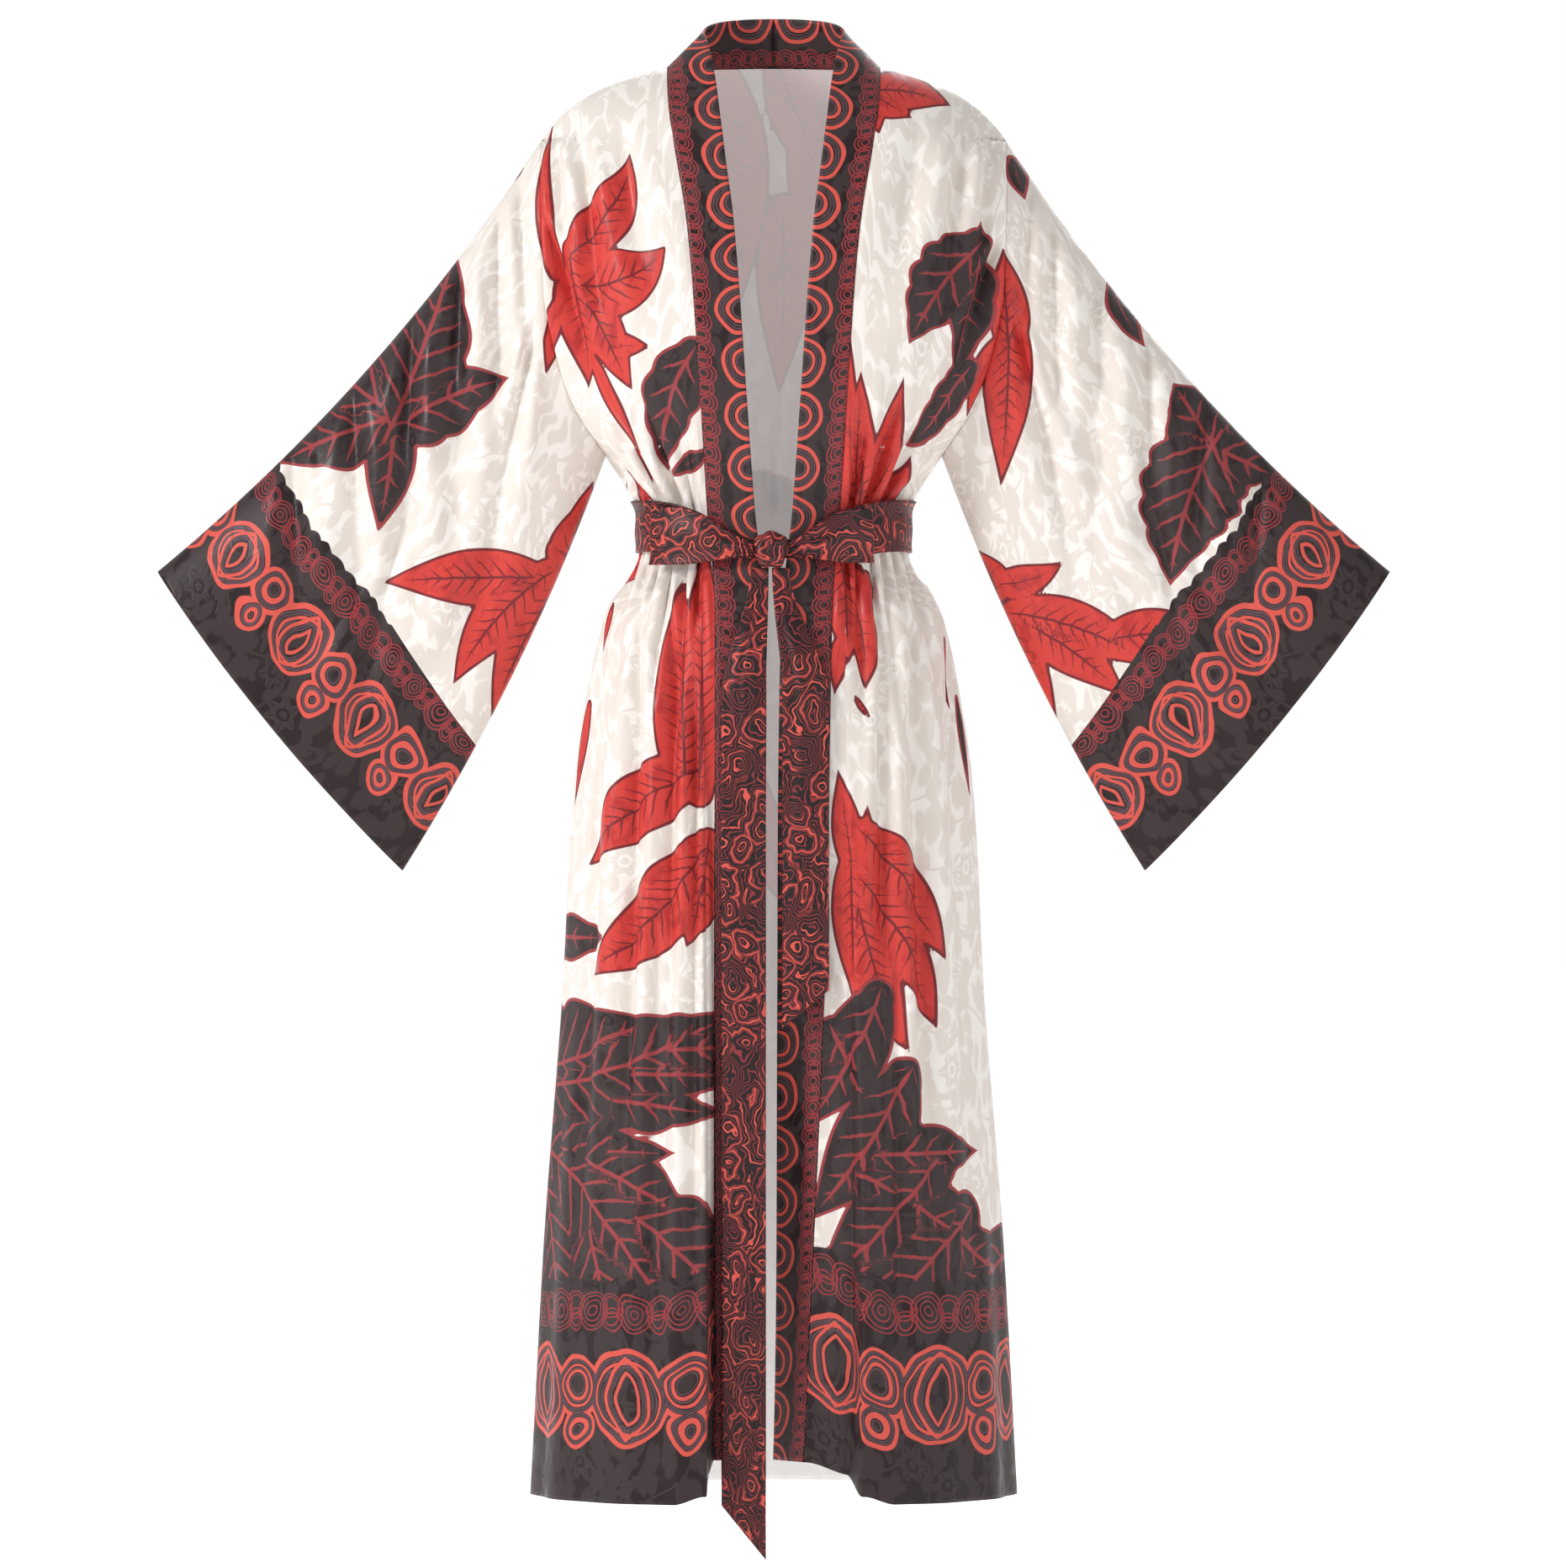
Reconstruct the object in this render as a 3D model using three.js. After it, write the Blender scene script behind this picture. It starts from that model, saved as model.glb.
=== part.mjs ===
// A satin kimono robe, belted and filled out as if worn, with no wearer inside: a back, two fronts, two wide sleeves,
// a neckband in two halves, and a sash tied in a flat bow with two free tails.
// Millimetres, +Z up. The front faces -Y and +X is the wearer's left. The origin is the seat of the shoulders,
// midway between the two neck points.
import * as THREE from "three";

// Cloth
const CLOTH = 1.2; // wall of the panels and the sleeves
const BAND_WALL = 2.0; // the neckband is folded double
const SASH_WALL = 2.0; // the sash too
const SEAM = 0.4; // gap between two pieces at a seam

// Neck and shoulders
const NECK = { half: 97, depth: 75, z: 3, rise: 5 }; // half width, depth behind, height, and the rise at centre back
const NECK_SHARE = 0.42; // of half the back's width, round the back of the neck
const SHOULDER = { x: 212.5, slope: 33, drop: 34, turn: 66 }; // seam, fall of the shoulder, and its round at the arm
const ARMHOLE = { top: -64, bottom: -351, depth: 58 };
const ROUND = 2.3; // exponent of the sections' rounded outline: 2 is an ellipse

// Heights
const WAIST = -424;
const HEM = -1301;

// Half sizes of the filled garment at each height: side is the half width, at the armhole or at the side seam.
const LEVELS = [
  { z: 20, side: 213, front: 60, back: 74 },
  { z: -64, side: 212.5, front: 86, back: 88 },
  { z: -115, side: 212, front: 101, back: 95 },
  { z: -170, side: 210.5, front: 111, back: 98 },
  { z: -224, side: 207, front: 117, back: 97 },
  { z: -304, side: 184, front: 115, back: 93 },
  { z: -351, side: 154, front: 106, back: 90 },
  { z: -398, side: 125, front: 93, back: 87 },
  { z: WAIST, side: 123, front: 92, back: 86 },
  { z: -450, side: 125, front: 93, back: 88 },
  { z: -494, side: 151, front: 106, back: 104 },
  { z: -525, side: 161, front: 113, back: 116 },
  { z: -573, side: 170, front: 120, back: 127 },
  { z: -669, side: 181, front: 129, back: 140 },
  { z: -855, side: 192, front: 141, back: 152 },
  { z: -1076, side: 210, front: 155, back: 165 },
  { z: -1310, side: 223, front: 170, back: 178 },
];

// The fronts' inner edges, where the neckband is sewn on: their distance from the middle, and the band's width there.
const FRONT_EDGE = [
  { z: 20, left: 97, right: 97, band: 46 },
  { z: -5, left: 96.6, right: 96.6, band: 46 },
  { z: -66, left: 91, right: 91, band: 45 },
  { z: -130, left: 80.5, right: 80.5, band: 43 },
  { z: -185, left: 74.5, right: 74.5, band: 42 },
  { z: -240, left: 70.5, right: 70.5, band: 42 },
  { z: -300, left: 66.5, right: 66.5, band: 42 },
  { z: -405, left: 60, right: 60, band: 43 },
  { z: -447, left: 56, right: 56, band: 44 },
  { z: -500, left: 53, right: 53, band: 46 },
  { z: -850, left: 46, right: 54, band: 46 },
  { z: -1310, left: 27, right: 54, band: 46 },
];

// Below the waist each front folds back before its band. At the hem: how far the fold stands out sideways from the
// band's seam, how deep the seam lies behind it, how much higher the hem hangs there, and the band's turn in degrees.
const TURN_BACK = {
  left: { crease: 53, depth: 56, rise: 36, band: 54 },
  right: { crease: 7, depth: 50, rise: 38, band: 8 },
};
const FOLD = { from: -470, least: 14, share: 0.16, round: 30 }; // least is its width before it starts
const FOLD_STEPS = { round: 0.2, sharp: 0.5, slow: 0.3 }; // shares of its depth: up to the fold, at it, and behind it

// Gathers under the sash. at and width are shares of the panel's width, depth is the trough's, up and down are how
// far it runs above and below the waist, and lean is how far it slants outwards for each metre.
const FRONT_GATHERS = [
  { at: 0.13, width: 0.045, depth: 4.5, up: 70, down: 150, lean: 0.1 },
  { at: 0.3, width: 0.055, depth: 6.0, up: 130, down: 210, lean: 0.16 },
  { at: 0.46, width: 0.05, depth: 5.5, up: 160, down: 130, lean: 0.22 },
  { at: 0.63, width: 0.06, depth: 6.0, up: 120, down: 240, lean: 0.14 },
  { at: 0.81, width: 0.055, depth: 5.0, up: 90, down: 170, lean: 0.1 },
];
const BACK_GATHERS = { count: 6, width: 0.05, depth: 6.5, up: 140, down: 210, shorter: 0.2, lean: 0.05 };

// Soft flutes that grow towards the hem, on the fronts and on each half of the back.
const FLUTES = [
  { at: 0.28, width: 0.1, depth: 7 },
  { at: 0.56, width: 0.12, depth: 5 },
  { at: 0.83, width: 0.09, depth: 6 },
];
const FLUTES_FROM = -560;

// A sleeve: its top and under edges as seen from the front, each a curve from the armhole to the cuff.
const SLEEVE = {
  top: [[212.5, -64], [358, -288], [563.6, -458]],
  under: [[154, -351], [226, -551], [340, -731]],
  cuff: 34, // half depth of the cuff's opening
  droop: 0.3, // how much fuller the arm's side is than the hanging side
  bow: 9, // how far the cuff's edge bows out
  axis: [0.77, -0.63], // the way it points, in x and z
};
const SLEEVE_FOLDS = [
  { at: 0.24, width: 0.07, depth: 5, from: 0.05, to: 0.75 },
  { at: 0.42, width: 0.08, depth: 8, from: 0.1, to: 1.2 },
  { at: 0.6, width: 0.07, depth: 7, from: 0.08, to: 0.9 },
  { at: 0.78, width: 0.08, depth: 6, from: 0.15, to: 1.3 },
];

// Neckband: how steeply it stands at the neck point and at centre back, in degrees
const COLLAR = { sideLean: 45, backLean: 78, liesFlat: 1.15 }; // and the row by which it lies flat on the chest
const BAND_GAP = 1.0; // from the seam's line to the band's edge

// Sash, bow and tails
const SASH = {
  z: -417,
  dip: 23, // how much lower its middle hangs at the knot
  level: 118, // from this far out it lies level
  width: 47,
  narrow: 15, // its width at the knot
  full: 88, // from this far out it has its full width
  clear: 3.4, // its middle surface, off the panels'
};
const KNOT = { x: -2.5, z: -440, half: [14.5, 10, 16] };
const LOOPS = {
  left: { end: 84, width: 49 },
  right: { end: 104, width: 52 },
};
const LOOP = {
  z: -427,
  bend: 3.4, // half its thickness
  bendShare: 0.16, // of its length, in the bend
  pinch: 9, // its width at the knot
  off: 1.3, // its gap to the sash
  tuck: 1.3, // how far it reaches in beside the knot's widest place
};
const TAILS = {
  left: { start: 7, x: 29, width: 42, tip: -872, corner: -838 },
  right: { start: -9, x: -27, width: 40, tip: -1352, corner: -1303 },
};
const TAIL = { neck: 13, opens: 120, off: 7.5, cup: 2.2, falls: 70 }; // off the bands, once it has fallen clear

const mix = (a, b, t) => a + (b - a) * t;
const clamp = (t) => Math.min(1, Math.max(0, t));
const ease = (a, b, t) => {
  const q = clamp((t - a) / (b - a));
  return q * q * (3 - 2 * q);
};
const bump = (q) => Math.exp(-q * q);
const steps = (n, from = 0, to = 1) => Array.from({ length: n + 1 }, (_, i) => mix(from, to, i / n));

// A column of a table at a height, on a smooth curve through the table's rows.
function column(table, name, z) {
  let i = 0;
  while (i < table.length - 2 && table[i + 1].z > z) i++;
  const slope = (k) => {
    const a = table[Math.max(0, k - 1)];
    const b = table[Math.min(table.length - 1, k + 1)];
    return (b[name] - a[name]) / (b.z - a.z);
  };
  const [a, b] = [table[i], table[i + 1]];
  const h = b.z - a.z;
  const t = clamp((z - a.z) / h);
  const t2 = t * t;
  const t3 = t2 * t;
  return (
    (2 * t3 - 3 * t2 + 1) * a[name] +
    (t3 - 2 * t2 + t) * h * slope(i) +
    (3 * t2 - 2 * t3) * b[name] +
    (t3 - t2) * h * slope(i + 1)
  );
}

// The armhole's half depth at a height, and none above or below it.
function armDepth(z) {
  const middle = (ARMHOLE.top + ARMHOLE.bottom) / 2;
  const c = (z - middle) / (ARMHOLE.top - middle);
  return Math.abs(c) < 1 ? ARMHOLE.depth * Math.sqrt(1 - c * c) : 0;
}

// A level section's point: share 0 is at inner, a distance from the middle, and share 1 at the armhole or side seam.
// On a front, the shares up to FOLD.share are the stretch between the band's seam and the fold.
function section(face, inner, share, z, fold = inner) {
  const depth = column(LEVELS, face, z);
  const side = column(LEVELS, "side", z);
  const reach = side / Math.pow(1 - (armDepth(z) / depth) ** 2, 1 / ROUND);
  const angle = (x) => Math.asin(Math.min(1, Math.pow(x / reach, ROUND / 2)));
  const kept = fold > inner ? FOLD.share : 0;
  const turn =
    share < kept
      ? mix(angle(inner), angle(fold), share / kept)
      : mix(angle(fold), angle(side), (share - kept) / (1 - kept));
  return {
    x: reach * Math.pow(Math.sin(turn), 2 / ROUND),
    y: depth * Math.cos(turn),
    normal: [Math.sin(turn) / reach, Math.cos(turn) / depth],
  };
}

// How far the cloth is drawn in by its gathers and flutes.
function drawnIn(gathers, share, z) {
  let sum = 0;
  for (const g of gathers) {
    const far = z - WAIST;
    const run = far > 0 ? g.up : g.down;
    const at = g.at + (g.lean * Math.abs(far)) / 1000;
    sum += g.depth * bump((share - at) / g.width) * bump(far / run);
  }
  for (const f of FLUTES) sum += f.depth * bump((share - f.at) / f.width) * ease(FLUTES_FROM, HEM, z);
  return sum * ease(0, 0.07, share) * ease(1, 0.95, share);
}

const backGathers = Array.from({ length: BACK_GATHERS.count }, (_, i) => ({
  ...BACK_GATHERS,
  at: (i + 0.55) / (BACK_GATHERS.count + 0.1),
  depth: BACK_GATHERS.depth * (1 - BACK_GATHERS.shorter * ((i + 1) % 3) * 0.5),
  down: BACK_GATHERS.down * (1 - BACK_GATHERS.shorter * (i % 2)),
}));

// Where a panel starts, on the shoulder seam or round the back of the neck.
function shoulderPoint(share, neckShare) {
  if (share < neckShare) {
    const turn = (share / neckShare) * (Math.PI / 2);
    return {
      x: NECK.half * Math.sin(turn),
      y: NECK.depth * Math.cos(turn),
      z: NECK.z + NECK.rise * Math.cos(turn) ** 2,
    };
  }
  const q = (share - neckShare) / (1 - neckShare);
  return {
    x: mix(NECK.half, SHOULDER.x, q),
    y: 0,
    z: NECK.z - SHOULDER.slope * q - SHOULDER.drop * q ** 4,
  };
}

// Where the fold of a front stands, and how far the front has turned back at a share: 0 on its face, 1 at the seam.
const lowered = (z) => ease(FOLD.from, HEM, z);
const foldAt = (side, z) => column(FRONT_EDGE, side, z) + mix(FOLD.least, TURN_BACK[side].crease, lowered(z));
function turnedBack(side, share, x, z) {
  const fold = foldAt(side, z);
  const inside = share / FOLD.share;
  return (
    FOLD_STEPS.round * ease(fold + FOLD.round, fold, x) +
    FOLD_STEPS.sharp * ease(1, 0.72, inside) +
    FOLD_STEPS.slow * ease(0.8, 0, inside)
  );
}

// A point of a front or a half of the back, for its share across and its row: 0 to 1 over the shoulder's turn,
// 1 to 2 down to the underarm, and 2 to 3 down to the hem.
function panelPoint(face, side, share, row) {
  const front = face === "front";
  const top = shoulderPoint(share, front ? 0 : NECK_SHARE);
  const turn = Math.min(row, 1) * (Math.PI / 2);
  const hung = top.z - SHOULDER.turn;
  let z = top.z - SHOULDER.turn * (1 - Math.cos(turn));
  if (row > 1) z = mix(hung, ARMHOLE.bottom, Math.min(row - 1, 1));
  if (row > 2) z = mix(ARMHOLE.bottom, HEM, row - 2);
  const inner = front ? column(FRONT_EDGE, side, z) : 0;
  const level = section(face, inner, share, z, front ? foldAt(side, z) : 0);
  const arm = Math.min(armDepth(z), level.y);
  let x = mix(top.x, level.x, 1 - Math.cos(turn));
  let y = mix(top.y, 0, Math.sin(turn)) + mix(arm, level.y, Math.sin(turn));
  const length = Math.hypot(...level.normal);
  const inwards = drawnIn(front ? FRONT_GATHERS : backGathers, share, z);
  x -= (inwards * level.normal[0]) / length;
  y -= (inwards * level.normal[1]) / length;
  if (front) {
    const back = turnedBack(side, share, x, z) * lowered(z);
    y -= TURN_BACK[side].depth * back;
    z += TURN_BACK[side].rise * back * lowered(z);
  }
  y += SEAM / 2;
  return new THREE.Vector3(side === "left" ? x : -x, front ? -y : y, z);
}

// A point of the neckband. along runs 0 to 1 from centre back to the neck point, and then 1 ahead of a front's rows.
// across is 0 at the seam and 1 at the free edge.
function bandPoint(side, along, across) {
  const hand = side === "left" ? 1 : -1;
  if (along < 1) {
    const seam = shoulderPoint(along, 1);
    const out = new THREE.Vector2(seam.x / NECK.half ** 2, seam.y / NECK.depth ** 2).normalize();
    const lean = THREE.MathUtils.degToRad(mix(COLLAR.backLean, COLLAR.sideLean, ease(0, 1, along)));
    const far = BAND_GAP + across * FRONT_EDGE[0].band;
    const inwards = far * Math.cos(lean);
    return new THREE.Vector3(
      hand * (seam.x - inwards * out.x),
      seam.y - inwards * out.y,
      seam.z + far * Math.sin(lean),
    );
  }
  const row = along - 1;
  const seam = panelPoint("front", side, 0, row);
  const lean = THREE.MathUtils.degToRad(COLLAR.sideLean) * (1 - ease(0, COLLAR.liesFlat, row));
  const far = BAND_GAP + across * column(FRONT_EDGE, "band", seam.z);
  const turn = THREE.MathUtils.degToRad(TURN_BACK[side].band) * lowered(seam.z);
  const inner = Math.abs(seam.x) - far * Math.cos(lean) * Math.cos(turn);
  const flat = section("front", 0, 0, seam.z).y - section("front", Math.abs(seam.x), 0, seam.z).y;
  const y = seam.y + far * Math.sin(turn) - flat * across * ease(0, 1, row);
  return new THREE.Vector3(hand * inner, y, seam.z + far * Math.sin(lean));
}

// A point of a sleeve: along runs from the armhole to the cuff, and turn goes round it from the top, down the front.
function sleevePoint(side, along, turn) {
  const curve = ([a, b, c]) => [0, 1].map((k) => mix(mix(a[k], b[k], along), mix(b[k], c[k], along), along));
  const [top, under] = [curve(SLEEVE.top), curve(SLEEVE.under)];
  const down = (1 - Math.cos(turn)) / 2;
  let x = mix(top[0], under[0], down);
  let z = mix(top[1], under[1], down);
  const seamZ = mix(ARMHOLE.top, ARMHOLE.bottom, down);
  const straight = mix(SLEEVE.top[0][0], SLEEVE.under[0][0], down);
  x += (column(LEVELS, "side", seamZ) - straight) * (1 - along) ** 2;
  const bow = SLEEVE.bow * 4 * down * (1 - down) * along ** 2;
  x += bow * SLEEVE.axis[0];
  z += bow * SLEEVE.axis[1];
  const fuller = 1 + SLEEVE.droop * Math.cos(turn) * ease(0, 0.6, along);
  let y = mix(ARMHOLE.depth, SLEEVE.cuff, ease(0, 1, along)) * Math.sin(turn) * fuller;
  for (const f of SLEEVE_FOLDS) {
    const drawn = f.depth * bump((down - f.at) / f.width) * ease(f.from - 0.1, f.from + 0.3, along);
    y -= Math.sign(Math.sin(turn)) * drawn * ease(f.to, f.to - 0.4, along) * ease(0, 0.25, Math.abs(Math.sin(turn)));
  }
  return new THREE.Vector3(side === "left" ? x : -x, -y, z);
}

// A point on the outside of the waist, for an angle from centre front and a height.
function waistPoint(angle, z, off) {
  const face = Math.cos(angle) > 0 ? "front" : "back";
  const depth = column(LEVELS, face, z) + off;
  const side = column(LEVELS, "side", z) + off;
  const s = Math.sin(angle);
  return { x: side * Math.sign(s) * Math.pow(Math.abs(s), 2 / ROUND), y: -depth * Math.cos(angle) };
}

// The sash's middle height at a distance from the middle of the front.
const sashHeight = (x) => SASH.z - SASH.dip * (1 - ease(0, SASH.level, Math.abs(x - KNOT.x)));

function sashPoint(angle, across) {
  const flat = waistPoint(angle, WAIST, SASH.clear);
  const front = Math.cos(angle) > 0;
  const middle = front ? sashHeight(flat.x) : SASH.z;
  const width = front ? mix(SASH.narrow, SASH.width, ease(6, SASH.full, Math.abs(flat.x - KNOT.x))) : SASH.width;
  const z = middle + (0.5 - across) * width;
  const at = waistPoint(angle, z, SASH.clear);
  return new THREE.Vector3(at.x, at.y, z);
}

// The angle round the waist at which the sash's face has a given distance from the middle.
function angleAt(x) {
  const reach = column(LEVELS, "side", WAIST) + SASH.clear;
  return Math.sign(x) * Math.asin(Math.pow(Math.min(1, Math.abs(x) / reach), ROUND / 2));
}

// A point of a bow loop: along runs -1 to 1, out from the knot on the face, round the end and back behind.
function loopPoint(side, along, across) {
  const hand = side === "left" ? 1 : -1;
  const { end, width } = LOOPS[side];
  const start = KNOT.half[0] + SEAM - LOOP.tuck;
  const far = Math.abs(along);
  const straightEnd = end - LOOP.bend;
  let out = straightEnd;
  let off = Math.sign(along) * LOOP.bend;
  if (far > LOOP.bendShare) {
    const q = (far - LOOP.bendShare) / (1 - LOOP.bendShare);
    out = mix(straightEnd, start, q);
    off *= mix(1, 0.5, q * q);
  } else {
    const beta = (along / LOOP.bendShare) * (Math.PI / 2);
    out += LOOP.bend * Math.cos(beta);
    off = LOOP.bend * Math.sin(beta);
  }
  const opened = ease(start - 8, end * 0.8, out);
  const x = hand * out + KNOT.x * (1 - opened);
  const clear = SASH.clear + SASH_WALL + LOOP.off + LOOP.bend - off;
  const z = mix(KNOT.z, LOOP.z, opened) + (0.5 - across) * mix(LOOP.pinch, width, opened);
  const at = waistPoint(angleAt(x), z, clear);
  return new THREE.Vector3(at.x, at.y, z);
}

// How far forward the bands reach from the waist down to a height, for what hangs in front of them.
const bandFront = (side, z) => bandPoint(side, 3 + (ARMHOLE.bottom - z) / (ARMHOLE.bottom - HEM), 0.5).y;
const hangsAt = (side, z) => Math.min(...steps(8, WAIST, z).map((level) => bandFront(side, level)));

// A point of a tail: down runs 0 to 1 from the knot to the cut end, whose tip is on the inner side.
function tailPoint(side, down, across) {
  const t = TAILS[side];
  const hand = side === "left" ? 1 : -1;
  const topZ = KNOT.z - KNOT.half[2] - SEAM;
  const inner = hand * (0.5 - across);
  const end = mix(t.tip, t.corner, clamp(0.5 - hand * inner));
  const z = mix(topZ, end, down);
  const fallen = topZ - z;
  const open = ease(0, TAIL.opens, fallen);
  const width = mix(TAIL.neck, t.width, open);
  const x = mix(KNOT.x + t.start, t.x, open) - inner * width;
  const knotFront = waistPoint(0, WAIST, SASH.clear).y - KNOT.half[1];
  const held = Math.max(HEM, z);
  const y = mix(knotFront, hangsAt(side, held) - TAIL.off, ease(0, TAIL.falls, fallen));
  const cup = TAIL.cup * Math.cos(inner * Math.PI) * open;
  return new THREE.Vector3(x, y - cup, z);
}

// A closed wall of cloth on a surface: two faces half a wall either side of it, and the edges between them.
// point gives the surface, us and vs the places across and down. A tube is closed across.
function cloth(point, us, vs, wall, closed = false) {
  const h = 1e-3;
  const normalAt = (u, v) => {
    const [u0, u1] = closed ? [u - h, u + h] : [Math.max(us[0], u - h), Math.min(us.at(-1), u + h)];
    const [v0, v1] = [Math.max(vs[0], v - h), Math.min(vs.at(-1), v + h)];
    const across = point(u1, v).sub(point(u0, v));
    const down = point(u, v1).sub(point(u, v0));
    return across.cross(down).normalize();
  };
  const [columns, rows] = [us.length, vs.length];
  const positions = [];
  for (const face of [0.5, -0.5])
    for (const v of vs)
      for (const u of us) {
        const p = point(u, v).addScaledVector(normalAt(u, v), face * wall);
        positions.push(p.x, p.y, p.z);
      }
  const index = [];
  const quad = (a, b, c, d) => index.push(a, b, c, a, c, d);
  const at = (i, j, face) => face * rows * columns + j * columns + (i % columns);
  const spans = closed ? columns : columns - 1;
  for (let j = 0; j < rows - 1; j++)
    for (let i = 0; i < spans; i++) {
      quad(at(i, j, 0), at(i + 1, j, 0), at(i + 1, j + 1, 0), at(i, j + 1, 0));
      quad(at(i, j, 1), at(i, j + 1, 1), at(i + 1, j + 1, 1), at(i + 1, j, 1));
    }
  for (let i = 0; i < spans; i++) {
    quad(at(i, 0, 1), at(i + 1, 0, 1), at(i + 1, 0, 0), at(i, 0, 0));
    quad(at(i, rows - 1, 0), at(i + 1, rows - 1, 0), at(i + 1, rows - 1, 1), at(i, rows - 1, 1));
  }
  for (let j = 0; !closed && j < rows - 1; j++) {
    quad(at(0, j, 0), at(0, j + 1, 0), at(0, j + 1, 1), at(0, j, 1));
    quad(at(columns - 1, j, 1), at(columns - 1, j + 1, 1), at(columns - 1, j + 1, 0), at(columns - 1, j, 0));
  }
  const geometry = new THREE.BufferGeometry();
  geometry.setAttribute("position", new THREE.Float32BufferAttribute(positions, 3));
  geometry.setIndex(index);
  if (signedVolume(geometry) < 0) index.reverse();
  geometry.setIndex(index);
  geometry.computeVertexNormals();
  return geometry;
}

function signedVolume(geometry) {
  const p = geometry.attributes.position;
  const [a, b, c] = [new THREE.Vector3(), new THREE.Vector3(), new THREE.Vector3()];
  let sum = 0;
  for (let i = 0; i < geometry.index.count; i += 3) {
    [a, b, c].forEach((q, k) => q.fromBufferAttribute(p, geometry.index.getX(i + k)));
    sum += a.dot(b.cross(c)) / 6;
  }
  return sum;
}

const SATIN = new THREE.MeshStandardMaterial({ color: 0xe9e3dd, roughness: 0.42, metalness: 0 });
const PRINT = new THREE.MeshStandardMaterial({ color: 0x3a2a2b, roughness: 0.45, metalness: 0 });

const robe = new THREE.Group();
function add(name, geometry, material) {
  const mesh = new THREE.Mesh(geometry, material);
  mesh.name = name;
  robe.add(mesh);
}

// Rows down a panel: over the shoulder, down to the underarm, then closer together at the waist.
const WAIST_HEIGHTS = [-372, -392, -408, -424, -440, -456, -476, -502, -540, -600];
const BODY_HEIGHTS = [...WAIST_HEIGHTS, -690, -800, -920, -1040, -1160, -1250];
const panelRows = [
  ...steps(4),
  ...steps(4, 1, 2).slice(1),
  ...BODY_HEIGHTS.map((z) => 2 + (ARMHOLE.bottom - z) / (ARMHOLE.bottom - HEM)),
  3,
];
const foldColumns = [0, 0.25, 0.5, 0.7, 0.82, 0.91].map((u) => u * FOLD.share);
const frontColumns = [...foldColumns, FOLD.share, FOLD.share + 0.02, ...steps(16, FOLD.share + 0.05, 1)];
const halfBack = steps(18).slice(1);
const backColumns = [...halfBack.map((u) => -u).reverse(), 0, ...halfBack];

function addFronts() {
  for (const side of ["left", "right"]) {
    const point = (u, v) => panelPoint("front", side, u, v);
    add("front_" + side, cloth(point, frontColumns, panelRows, CLOTH), SATIN);
  }
}

function addBack() {
  const point = (u, v) => panelPoint("back", u < 0 ? "right" : "left", Math.abs(u), v);
  add("back", cloth(point, backColumns, panelRows, CLOTH), SATIN);
}

function addSleeves() {
  const turns = steps(30, 0, 2 * Math.PI).slice(0, -1);
  const start = 0.0046; // keeps the seam's gap at the armhole
  const alongs = [start, 0.04, 0.1, 0.18, 0.28, 0.39, 0.5, 0.61, 0.72, 0.83, 0.92, 1];
  for (const side of ["left", "right"]) {
    const point = (turn, along) => sleevePoint(side, along, turn);
    add("sleeve_" + side, cloth(point, turns, alongs, CLOTH, true), SATIN);
  }
}

function addNeckband() {
  const start = 0.002;
  const rows = panelRows.slice(1).map((v) => v + 1);
  const alongs = [start, 0.16, 0.32, 0.48, 0.64, 0.8, 0.93, 1, ...rows];
  for (const side of ["left", "right"]) {
    const point = (across, along) => bandPoint(side, along, across);
    add("neckband_" + side, cloth(point, steps(3), alongs, BAND_WALL), PRINT);
  }
}

function addSash() {
  const angles = steps(56, 0, 2 * Math.PI).slice(0, -1);
  add("sash", cloth(sashPoint, angles, steps(2), SASH_WALL, true), PRINT);
}

function addBow() {
  const knot = new THREE.SphereGeometry(1, 18, 12);
  knot.rotateX(Math.PI / 2);
  const p = knot.attributes.position;
  const squared = (q) => Math.sign(q) * Math.pow(Math.abs(q), 0.82);
  for (let i = 0; i < p.count; i++) {
    const [x, y, z] = [p.getX(i), p.getY(i), p.getZ(i)].map(squared);
    p.setXYZ(i, x * KNOT.half[0], y * KNOT.half[1], z * KNOT.half[2]);
  }
  const face = waistPoint(0, WAIST, SASH.clear + SASH_WALL / 2 + SEAM).y;
  knot.translate(KNOT.x, face - KNOT.half[1], KNOT.z);
  add("knot", knot, PRINT);

  const out = [...steps(7, -1, -0.2), -0.16, -0.08, 0];
  const alongs = [...out, ...out.slice(0, -1).reverse().map((q) => -q)];
  for (const side of ["left", "right"]) {
    const point = (along, across) => loopPoint(side, along, across);
    add("bow_loop_" + side, cloth(point, alongs, steps(3), SASH_WALL), PRINT);
  }
}

function addTails() {
  for (const [side, count] of [["left", 14], ["right", 24]]) {
    const downs = steps(count).map((q) => Math.pow(q, 1.3));
    const point = (across, down) => tailPoint(side, down, across);
    add("tail_" + side, cloth(point, steps(3), downs, SASH_WALL), PRINT);
  }
}

addBack();
addFronts();
addSleeves();
addNeckband();
addSash();
addBow();
addTails();

export default robe;
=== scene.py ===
# %% [markdown]
# # A satin kimono robe, filled out as if worn
#
# The solids of the frame already give the robe's size and pose: a back, two fronts, two wide sleeves, a
# neckband in two halves and a sash tied in a flat bow. This lesson lays thin cloth over them, creases
# it, prints it and lights it. The frame is loaded first, because every piece below is placed by it.

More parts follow.
